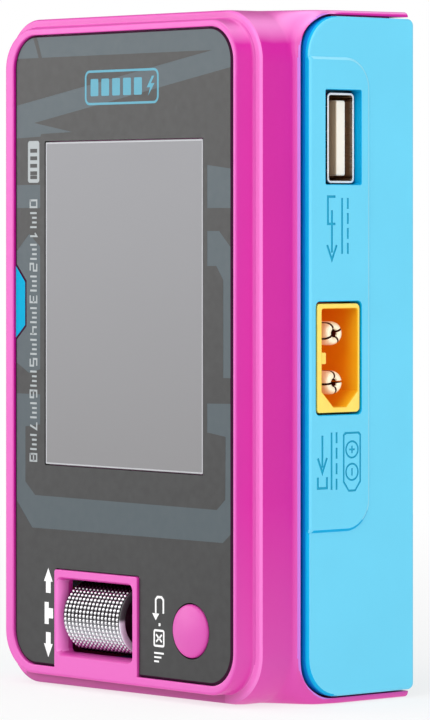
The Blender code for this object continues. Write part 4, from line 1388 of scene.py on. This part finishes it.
# painted shade on the tongue's face towards the front
tongue_paint.colour(
    tongue_paint.mix(
        tongue_paint.facing("Y", start=-0.5, end=-0.9), (252, 244, 230), (206, 182, 152)
    )
)
tongue_rings = softened(17.6, 19.45, 77.7, 88.8, 0.3, 17.0, 28.5, 0, 0.28, 5, 3)
tongue = Solid().loft("X", tongue_rings).build("usb_tongue_core", tongue_paint)
base_rings = softened(15.95, 20.1, 77.4, 89.2, 0.3, 15.2, 17.4, 0.1, 0.1, 4, 2)
contacts = [
    rounded(20.0, 25.6, 79.55 + CONTACT_PITCH * k, 80.45 + CONTACT_PITCH * k, 0.15, 2)
    for k in range(4)
]
carve(tongue, [
    join(Solid().loft("X", base_rings), ivory),
    join(Solid().prisms("Y", contacts, 19.35, 19.6), gold),
])
piece(tongue, "usb_tongue")


# ------------------------------------------------------------ input connector
PIN_SPACING = 3.625  # pin centres above and below a power connector's middle
INPUT_PIN_Z = (54.525, 47.275)


def nylon(name, deep_x, face_x):
    """Yellow nylon with painted light: more orange, with a faint painted glow, towards the deep
    end, as bounce light in the cavity.
    """
    paint = moulded(name, (255, 228, 106), roughness=0.4, vary=None)
    deep = paint.along("X", start=face_x, end=deep_x)
    tone = paint.mix(deep, (255, 228, 106), (252, 146, 8))
    specks = paint.spread(paint.noise(500.0), low=0.0, high=0.16)
    paint.colour(paint.mix(specks, tone, (250, 160, 30)))
    # painted glow, stronger towards the deep end
    paint.glow((236, 104, 0), deep, strength=0.16)
    paint.set("Subsurface Weight", 0.08)
    paint.set("Subsurface Radius", (0.6, 0.3, 0.05))
    paint.set("Subsurface Scale", 0.001)
    return paint


def cavity_nylon():
    paint = moulded(
        "input_nylon_cavity", (222, 128, 6), roughness=0.45, vary=None, specular=0.25
    )
    # painted bounce light: deeper orange and a faint painted glow into the cavity
    deep = paint.along("X", start=29.9, end=27.0)
    paint.colour(paint.mix(deep, (240, 178, 24), (232, 142, 6)))
    paint.glow((214, 104, 0), paint.along("X", start=29.9, end=27.0), strength=0.15)
    return paint


in_nylon = nylon("input_nylon", deep_x=27.6, face_x=29.95)
in_cavity = cavity_nylon()
pin_gold = metal(
    "pin_pale_gold", (255, 242, 214), roughness=0.34, streak=2600.0, depth=0.003, vary=0.06,
    metallic=0.25,
)
# painted glow that brightens the pins
pin_gold.set("Emission Color", linear((255, 214, 160)))
pin_gold.set("Emission Strength", 0.10)
# painted shade for the slits and the bore
slit_paint = moulded("pin_slit_shade", (96, 26, 10), roughness=0.6, specular=0.1)


def cavity(grow):
    """Opening whose two lower corners are cut off."""
    near, far = 13.3 - grow, 20.36 + grow
    low, high = 43.75 - grow, 58.15 + grow
    cut_off = 2.3 + 0.4 * grow
    return [
        (far, low + cut_off), (far, high - 0.35), (far - 0.1, high - 0.1), (far - 0.35, high),
        (near + 0.35, high), (near + 0.1, high - 0.1), (near, high - 0.35),
        (near, low + cut_off), (near + cut_off, low), (far - cut_off, low),
    ]


def input_steps():
    key_tab = softened(13.2, 14.3, 50.05, 51.75, 0.2, 19.5, 29.9, 0, 0.1, 3, 2)
    holes = [circle(PIN_DEPTH, z, 2.05, 40) for z in INPUT_PIN_Z]
    # collar rings on the cavity floor: (radius, x)
    collar = [(2.3, 19.0), (2.65, 19.0), (2.65, 20.35), (2.55, 20.45), (2.4, 20.45), (2.3, 20.35)]
    collars = Solid()
    for z in INPUT_PIN_Z:
        collars.ring("X", (PIN_DEPTH, z), collar, 48)
    return [
        cut(Solid().loft("X", flared(cavity, 20.0, 30.1, 32.0, 0.14, 4)), in_cavity),
        join(Solid().loft("X", key_tab), in_nylon),
        cut(Solid().prisms("X", holes, 10, 21), in_nylon),
        join(collars, in_nylon),
    ]


def split_pin(name, node, z, turn):
    """Hollow pin slit crosswise at its tip; turn is the slits' angle in degrees."""
    back, tip = node_x(node)
    profile = [
        (0.0, back), (1.5, back), (1.75, back + 0.25), (1.75, tip - 1.25), (1.72, tip - 0.8),
        (1.6, tip - 0.4), (1.4, tip - 0.13), (1.15, tip), (0.85, tip - 0.03),
        (0.66, tip - 0.2), (0.6, tip - 0.5), (0.6, tip - 6.0), (0.0, tip - 6.4),
    ]
    pin = Solid().lathe("X", (PIN_DEPTH, z), profile, 64).build(name, pin_gold)
    cuts = []
    for extra in (0, 90):
        angle = math.radians(turn + extra)
        cosine, sine = math.cos(angle), math.sin(angle)
        outline = [
            (PIN_DEPTH + u * cosine - v * sine, z + u * sine + v * cosine)
            for u, v in bar(-3, 3, -0.16, 0.16)
        ]
        cuts.append(cut(Solid().prism("X", outline, 22.5, 35.0), slit_paint))
    carve(pin, cuts)
    tidy(pin)
    # the bore takes the slits' painted shade, which took the last slot
    shade_slot = len(pin.data.materials) - 1
    for face in pin.data.polygons:
        centre = face.center
        off_axis = math.hypot(centre.y / MM + HALF_DEPTH - PIN_DEPTH, centre.z / MM - z)
        if off_axis < 0.62 and centre.x / MM < tip - 0.1:
            face.material_index = shade_slot
    piece(pin, node, angle=40.0)


input_rings = softened(
    12.4, 20.85, 42.9, 58.9, (0.75, 0.5, 0.5, 0.75), 14.2, 30.1, 0.3, 0.16, 6, 4
)
input_body = Solid().loft("X", input_rings).build("input_connector_body", in_nylon)
carve(input_body, input_steps())
tidy(input_body)
piece(input_body, "input_connector")
split_pin("input_pin_upper", "input_pin_pos", INPUT_PIN_Z[0], turn=28.0)
split_pin("input_pin_lower", "input_pin_neg", INPUT_PIN_Z[1], turn=8.0)


# ---------------------------------------------------------- output connectors
def plug_outline(low, high, inset):
    """Body outline whose two lower corners are cut off."""
    cut_off = 2.2
    return [
        (20.6 - inset, low + cut_off), (20.6 - inset, high - 0.5), (20.45 - inset, high - 0.15),
        (20.1 - inset, high - inset), (12.9 + inset, high - inset), (12.55 + inset, high - 0.15),
        (12.4 + inset, high - 0.5), (12.4 + inset, low + cut_off),
        (12.4 + cut_off, low + inset), (20.6 - cut_off, low + inset),
    ]


def output_plug(number, low, high):
    paint = nylon("output_nylon_%d" % number, deep_x=-27.4, face_x=-29.95)
    stations = ((-14.2, 0.0), (-29.85, 0.0), (-30.0, 0.07), (-30.1, 0.2))
    rings = [(x, plug_outline(low, high, inset)) for x, inset in stations]
    plug = Solid().loft("X", rings).build("output_connector_%d_body" % number, paint)
    middle = (low + high) / 2
    steps = []
    for z in (middle + PIN_SPACING, middle - PIN_SPACING):
        hole = flared(
            lambda grow: circle(PIN_DEPTH, z, 2.55 + grow, 48), -8.0, -30.1, -32.0, 0.25, 4
        )
        steps.append(cut(Solid().loft("X", hole), paint))
    # polarity signs in front of the bores
    signs = [
        [(PIN_DEPTH - 3.2 + u * 0.8, middle + 3.6 + v * 0.8) for u, v in PLUS],
        bar(PIN_DEPTH - 3.3, PIN_DEPTH - 3.1, middle - 4.1, middle - 3.1),
    ]
    steps.append(cut(Solid().prisms("X", signs, -29.95, -31.0), paint))
    carve(plug, steps)
    tidy(plug)
    piece(plug, "output_connector_%d" % number)
    for tag, z in (("pos", middle + PIN_SPACING), ("neg", middle - PIN_SPACING)):
        output_tube("output_socket_%d_%s" % (number, tag), z)


def output_tube(node, z):
    """Gold tube, open to the left."""
    mouth, back = node_x(node)
    profile = [
        (0, back), (1.9, back), (2.25, back - 0.3), (2.25, mouth + 0.25), (2.18, mouth + 0.08),
        (2.05, mouth), (1.95, mouth + 0.06), (1.8, mouth + 0.3), (1.8, -18.4), (0, -17.9),
    ]
    tube = Solid().lathe("X", (PIN_DEPTH, z), profile, 56).build(node + "_tube", gold)
    piece(tube, node, angle=40.0)


for number, (low, high) in enumerate(OUTPUTS, 1):
    output_plug(number, low, high)

# ------------------------------------------------------------ balance sockets
BALANCE_PITCH = 2.5
BALANCE_PINS = 7


def balance_socket(number, low, high):
    middle = (low + high) / 2
    rings = softened(13.6, 19.4, low, high, 0.3, -19.6, -29.9, 0.1, 0.15, 4, 3)
    body = Solid().loft("X", rings).build("balance_socket_%d_body" % number, white_nylon)
    mouth = growing(14.4, 18.6, low + 0.8, high - 0.8, 0.3, 4)
    keyways = [
        rounded(17.9, 20.6, middle + side * 6.2 - 0.8, middle + side * 6.2 + 0.8, 0.15, 3)
        for side in (-1, 1)
    ]
    pin_slot = rounded(15.8, 17.2, low + 1.3, high - 1.3, 0.1, 2)
    carve(body, [
        cut(Solid().loft("X", flared(mouth, -21.4, -29.9, -31.0, 0.12, 4)), white_nylon),
        cut(Solid().prisms("X", keyways, -23.0, -31.0), white_nylon),
        cut(Solid().prism("X", pin_slot, -18.0, -23.0), white_nylon),
    ])
    tidy(body)
    piece(body, "balance_socket_%d" % number)

    # a strip that carries the row of pins
    strip = rounded(16.1, 16.9, low + 1.6, high - 1.6, 0.1, 2)
    pins = Solid().prism("X", strip, -19.9, -21.2).build("balance_pins_%d_row" % number, gold)
    steps = []
    for k in range(BALANCE_PINS):
        z = middle - 7.5 + BALANCE_PITCH * k
        shaft = rounded(16.18, 16.82, z - 0.32, z + 0.32, 0.05, 2)
        tip = rounded(16.36, 16.64, z - 0.14, z + 0.14, 0.05, 2)
        steps.append(join(Solid().loft("X", [(-18.4, shaft), (-27.05, shaft), (-27.5, tip)]), gold))
    carve(pins, steps)
    piece(pins, "balance_pins_%d" % number)


for number, (low, high) in enumerate(BALANCES, 1):
    balance_socket(number, low, high)


# -------------------------------------------------------------- screws, feet
# Screw head: (radius, depth from the back)
HEAD_PROFILE = (
    (1.0, -0.72), (2.25, -0.72), (2.35, -0.66), (2.35, -0.55), (2.3, -0.46), (2.1, -0.32),
    (1.7, -0.2), (1.1, -0.15), (0, -0.15),
)
# Foot: (radius, height over the back)
FOOT_PROFILE = (
    (0, -0.25), (3.7, -0.25), (3.7, 0.3), (3.64, 0.52), (3.5, 0.68), (3.25, 0.78),
    (3.0, 0.8), (2.6, 0.8), (2.5, 0.73), (2.4, 0.73), (2.3, 0.8), (1.5, 0.8),
    (1.4, 0.73), (1.3, 0.73), (1.2, 0.8), (0, 0.8),
)
THREAD_PITCH = 0.62


def screw(node, at):
    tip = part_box(node)[0].y / MM + HALF_DEPTH
    profile = [(0, tip), (0.3, tip), (1.0, tip + 0.8)]
    depth = tip + 1.2
    while depth < BACK - 1.6:
        profile += [(1.0, depth), (0.86, depth + 0.2), (1.0, depth + 0.4)]
        depth += THREAD_PITCH
    profile += [(radius, BACK + along) for radius, along in HEAD_PROFILE]
    obj = Solid().lathe("Y", at, profile, 48).build(node + "_head", zinc)
    # cross recess, tapering inwards
    cuts = []
    for wide, tall in ((1.25, 0.27), (0.27, 1.25)):
        mouth = bar(at[0] - wide, at[0] + wide, at[1] - tall, at[1] + tall)
        deep = [(at[0] + (x - at[0]) * 0.55, at[1] + (z - at[1]) * 0.55) for x, z in mouth]
        cuts.append(cut(Solid().loft("Y", [(BACK - 0.62, deep), (BACK + 0.2, mouth)]), zinc))
    carve(obj, cuts)
    tidy(obj)
    piece(obj, node)


for number, at in enumerate(SCREW_AT, 1):
    screw("case_screw_%d" % number, at)
for number, at in enumerate(FAN_SCREW_AT, 1):
    screw("fan_screw_%d" % number, at)
for number, at in enumerate(FOOT_AT, 1):
    profile = [(radius, BACK + along) for radius, along in FOOT_PROFILE]
    foot = Solid().lathe("Y", at, profile, 64).build("foot_%d_pad" % number, rubber)
    piece(foot, "foot_%d" % number, angle=30.0)

# ------------------------------------------------------------------------ fan
BLADES, ALONG, ACROSS = 7, 9, 7  # blade count and steps along and across a blade
BLADE_ROOT, BLADE_TIP = 8.75, 18.15
SHAFT_HOLE = 0.85
# Cup: (radius, depth)
CUP_PROFILE = [
    (SHAFT_HOLE, 22.8), (8.3, 22.8), (8.75, 22.95), (9.0, 23.35), (9.0, 27.7), (8.9, 27.8),
    (8.3, 27.8), (8.2, 27.7), (8.2, 23.8), (SHAFT_HOLE, 23.8),
]


def blade_point(turn, span, chord_at, side):
    """Point of a blade. Span is 0 to 1, chord_at -0.5 to 0.5, side 1 or -1."""
    radius = BLADE_ROOT + (BLADE_TIP - BLADE_ROOT) * span
    chord = 5.3 + 1.5 * span
    pitch = math.radians(46 - 12 * span)
    sweep = math.radians(10) * span * span
    bulge = 1 - 4 * chord_at * chord_at
    camber = 0.55 * bulge
    axial = 25.3 + chord_at * chord * math.sin(pitch) + camber * math.cos(pitch)
    around = chord_at * chord * math.cos(pitch) - camber * math.sin(pitch)
    thick = 0.16 + 0.24 * bulge ** 0.5 if abs(chord_at) < 0.5 else 0.1
    off = side * thick
    angle = turn + sweep + (around - off * math.sin(pitch)) / radius
    depth = axial + off * math.cos(pitch)
    return place(radius * math.cos(angle), depth, FAN_Z + radius * math.sin(angle))


def add_blade(mesh, turn):
    grid = {}
    for i in range(ALONG + 1):
        for j in range(ACROSS + 1):
            for face, side in enumerate((-1, 1)):
                where = blade_point(turn, i / ALONG, j / ACROSS - 0.5, side)
                grid[i, j, face] = mesh.verts.new(where)

    def quad(*keys):
        mesh.faces.new([grid[key] for key in keys])

    for i in range(ALONG):
        for j in range(ACROSS):
            quad((i, j, 0), (i + 1, j, 0), (i + 1, j + 1, 0), (i, j + 1, 0))
            quad((i, j, 1), (i, j + 1, 1), (i + 1, j + 1, 1), (i + 1, j, 1))
        for j in (0, ACROSS):
            quad((i, j, 0), (i, j, 1), (i + 1, j, 1), (i + 1, j, 0))
    for i in (0, ALONG):
        for j in range(ACROSS):
            quad((i, j, 0), (i, j + 1, 0), (i, j + 1, 1), (i, j, 1))


blades = Solid()
for k in range(BLADES):
    add_blade(blades.mesh, 2 * math.pi * k / BLADES)
rotor = Solid().lathe("Y", (0, FAN_Z), CUP_PROFILE, 64).build("fan_rotor_cup", fan_paint)
carve(rotor, [
    cut(Solid().prism("Y", circle(0, FAN_Z, SHAFT_HOLE, 24), 20, 26), fan_paint),
    join(blades, fan_paint, overlaps=True),
])
piece(rotor, "fan_impeller", body="fan_rotor", angle=40.0)


# --------------------------------------------------- materials on CAD nodes
def green_board():
    """Solder mask with faint copper tracks under it."""
    paint = Paint("board_solder_mask", (18, 84, 48), roughness=0.35)
    tex = paint.add("ShaderNodeTexBrick")
    tex.inputs["Scale"].default_value = 260.0
    tex.inputs["Mortar Size"].default_value = 0.03
    tex.inputs["Color1"].default_value = linear((16, 78, 44))
    tex.inputs["Color2"].default_value = linear((22, 92, 54))
    tex.inputs["Mortar"].default_value = linear((48, 130, 74))
    mapping = paint.add("ShaderNodeMapping")
    mapping.inputs["Rotation"].default_value = (math.radians(90), 0, 0)
    paint.link(paint.coords.outputs["Object"], mapping.inputs["Vector"])
    paint.link(mapping.outputs["Vector"], tex.inputs["Vector"])
    patches = paint.spread(paint.noise(900.0), low=0.0, high=0.35)
    paint.colour(paint.mix(patches, tex.outputs["Color"], (14, 66, 40)))
    paint.rough(0.28, 0.42, scale=700.0)
    paint.bump(paint.noise(1500.0, detail=2.0), strength=0.2, distance=0.02)
    return paint


def lcd_cell():
    paint = Paint("lcd_cell", (150, 151, 156), roughness=0.25)
    paint.vary(0.08, scale=200.0)
    paint.rough(0.2, 0.3, scale=900.0)
    return paint


def polyimide():
    """Amber ribbon with fine conductors."""
    paint = Paint("polyimide_ribbon", (190, 118, 38), roughness=0.35)
    tracks = paint.noise(3000.0, detail=1.0, stretch=(1, 0.02, 0.02))
    lines = paint.spread(tracks, low=0.0, high=1.0, start=0.45, end=0.55)
    paint.colour(paint.mix(lines, (196, 124, 44), (150, 84, 24)))
    paint.rough(0.28, 0.42, scale=500.0)
    return paint


board = green_board()
ferrite = moulded("ferrite_grey", (72, 72, 76), roughness=0.7, grain=0.8, vary=0.15)
can_paint = metal(
    "capacitor_can", (178, 180, 184), roughness=0.33, stretch=(1, 0.05, 1), streak=2600.0
)
# Nodes that aren't listed are black
CAD_PAINT = {
    "lcd_panel": lcd_cell(),
    "lcd_frame": moulded("white_tray", (226, 226, 220), roughness=0.5),
    "lcd_ribbon": polyimide(),
    "display_board": board, "main_board": board, "control_board": board,
    "inductor_1": ferrite, "inductor_2": ferrite,
    "capacitor_1": can_paint, "capacitor_2": can_paint, "capacitor_3": can_paint,
    "heatsink": metal(
        "finned_aluminium", (190, 192, 196), roughness=0.38, stretch=(1, 1, 0.05),
        streak=2600.0, depth=0.01,
    ),
    "fan_frame": fan_paint,
    "fan_stator": metal(
        "copper_winding", (196, 104, 56), roughness=0.34, stretch=(1, 6, 1), streak=1800.0,
        depth=0.05, vary=0.2,
    ),
    "fan_shaft": zinc,
    "wheel_switch_stem": white_nylon, "exit_switch_stem": white_nylon,
}
for name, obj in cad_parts.items():
    if obj.hide_render:
        continue
    obj.data.materials.clear()
    obj.data.materials.append(CAD_PAINT.get(name, black).mat)


# ------------------------------------------------------------ stage and light
def pale_floor():
    """Pale floor that fades to pure white away from the object."""
    paint = Paint("pale_floor", (240, 240, 240), roughness=0.9)
    paint.vary(0.015, scale=6.0)
    distance = paint.vector("LENGTH", paint.coords.outputs["Object"])
    # metres from the origin
    far = paint.ramp(distance, start=0.05, end=0.40, low=0.72, kind="SMOOTHSTEP")
    glow = paint.add("ShaderNodeEmission")
    glow.inputs["Color"].default_value = (1, 1, 1, 1)
    glow.inputs["Strength"].default_value = 1.0
    blend = paint.add("ShaderNodeMixShader")
    output = next(n for n in paint.tree.nodes if n.type == "OUTPUT_MATERIAL")
    paint.link(far, blend.inputs["Fac"])
    paint.link(paint.shader.outputs["BSDF"], blend.inputs[1])
    paint.link(glow.outputs["Emission"], blend.inputs[2])
    paint.link(blend.outputs["Shader"], output.inputs["Surface"])
    return paint


FLOOR_HALF, FLOOR_Z = 6.0, -0.00002  # metres; just under the object
floor_solid = Solid()
floor_outline = bar(-FLOOR_HALF, FLOOR_HALF, -FLOOR_HALF, FLOOR_HALF)
floor_solid.mesh.faces.new(floor_solid.row([(x, y, FLOOR_Z) for x, y in floor_outline]))
floor_solid.build("floor", pale_floor())


def studio_world():
    """White to the camera, dimmer as a light."""
    world = bpy.data.worlds.new("studio")
    scene.world = world
    world.use_nodes = True
    tree = world.node_tree
    tree.nodes.clear()
    output = tree.nodes.new("ShaderNodeOutputWorld")
    pick = tree.nodes.new("ShaderNodeMixShader")
    ray = tree.nodes.new("ShaderNodeLightPath")
    tree.links.new(ray.outputs["Is Camera Ray"], pick.inputs["Fac"])
    lit, seen = 0.36, 1.0
    for slot, strength in ((1, lit), (2, seen)):
        background = tree.nodes.new("ShaderNodeBackground")
        background.inputs["Color"].default_value = (1, 1, 1, 1)
        background.inputs["Strength"].default_value = strength
        tree.links.new(background.outputs["Background"], pick.inputs[slot])
    tree.links.new(pick.outputs["Shader"], output.inputs["Surface"])


def softbox(name, azimuth, elevation, width, height, power):
    """Area light aimed at the object. Azimuth 0 is in front (-Y), 90 on the +X side."""
    distance, target = 0.9, Vector((0, 0, 0.05))
    data = bpy.data.lights.new(name, "AREA")
    data.shape = "RECTANGLE"
    data.size, data.size_y = width, height
    data.energy = power
    obj = bpy.data.objects.new(name, data)
    turn, rise = math.radians(azimuth), math.radians(elevation)
    way = Vector((
        math.sin(turn) * math.cos(rise), -math.cos(turn) * math.cos(rise), math.sin(rise)
    ))
    obj.location = target + way * distance
    obj.rotation_mode = "QUATERNION"
    obj.rotation_quaternion = way.to_track_quat("Z", "Y")
    scene.collection.objects.link(obj)


studio_world()
softbox("key_left_front", azimuth=-48, elevation=14, width=0.8, height=0.9, power=5.6)
softbox("front", azimuth=20, elevation=30, width=0.6, height=0.6, power=3.4)
softbox("fill_right", azimuth=88, elevation=20, width=0.6, height=0.8, power=2.6)
softbox("top", azimuth=25, elevation=78, width=0.8, height=0.8, power=2.8)

scene.view_settings.view_transform = "Standard"
scene.view_settings.look = "None"
scene.view_settings.exposure = 0.0
scene.view_settings.gamma = 1.0

camera_data = bpy.data.cameras.new("camera")
camera_data.sensor_width = 36.0
camera_data.lens = 217.35
camera_data.shift_x = 0.0
camera_data.shift_y = -0.1913
camera_data.clip_start = 0.01
camera_data.clip_end = 20.0
camera = bpy.data.objects.new("camera", camera_data)
camera.location = (0.50001, -0.4316, 0.07084)
camera.rotation_euler = (math.radians(90), 0, math.radians(49.01))
scene.collection.objects.link(camera)
scene.camera = camera
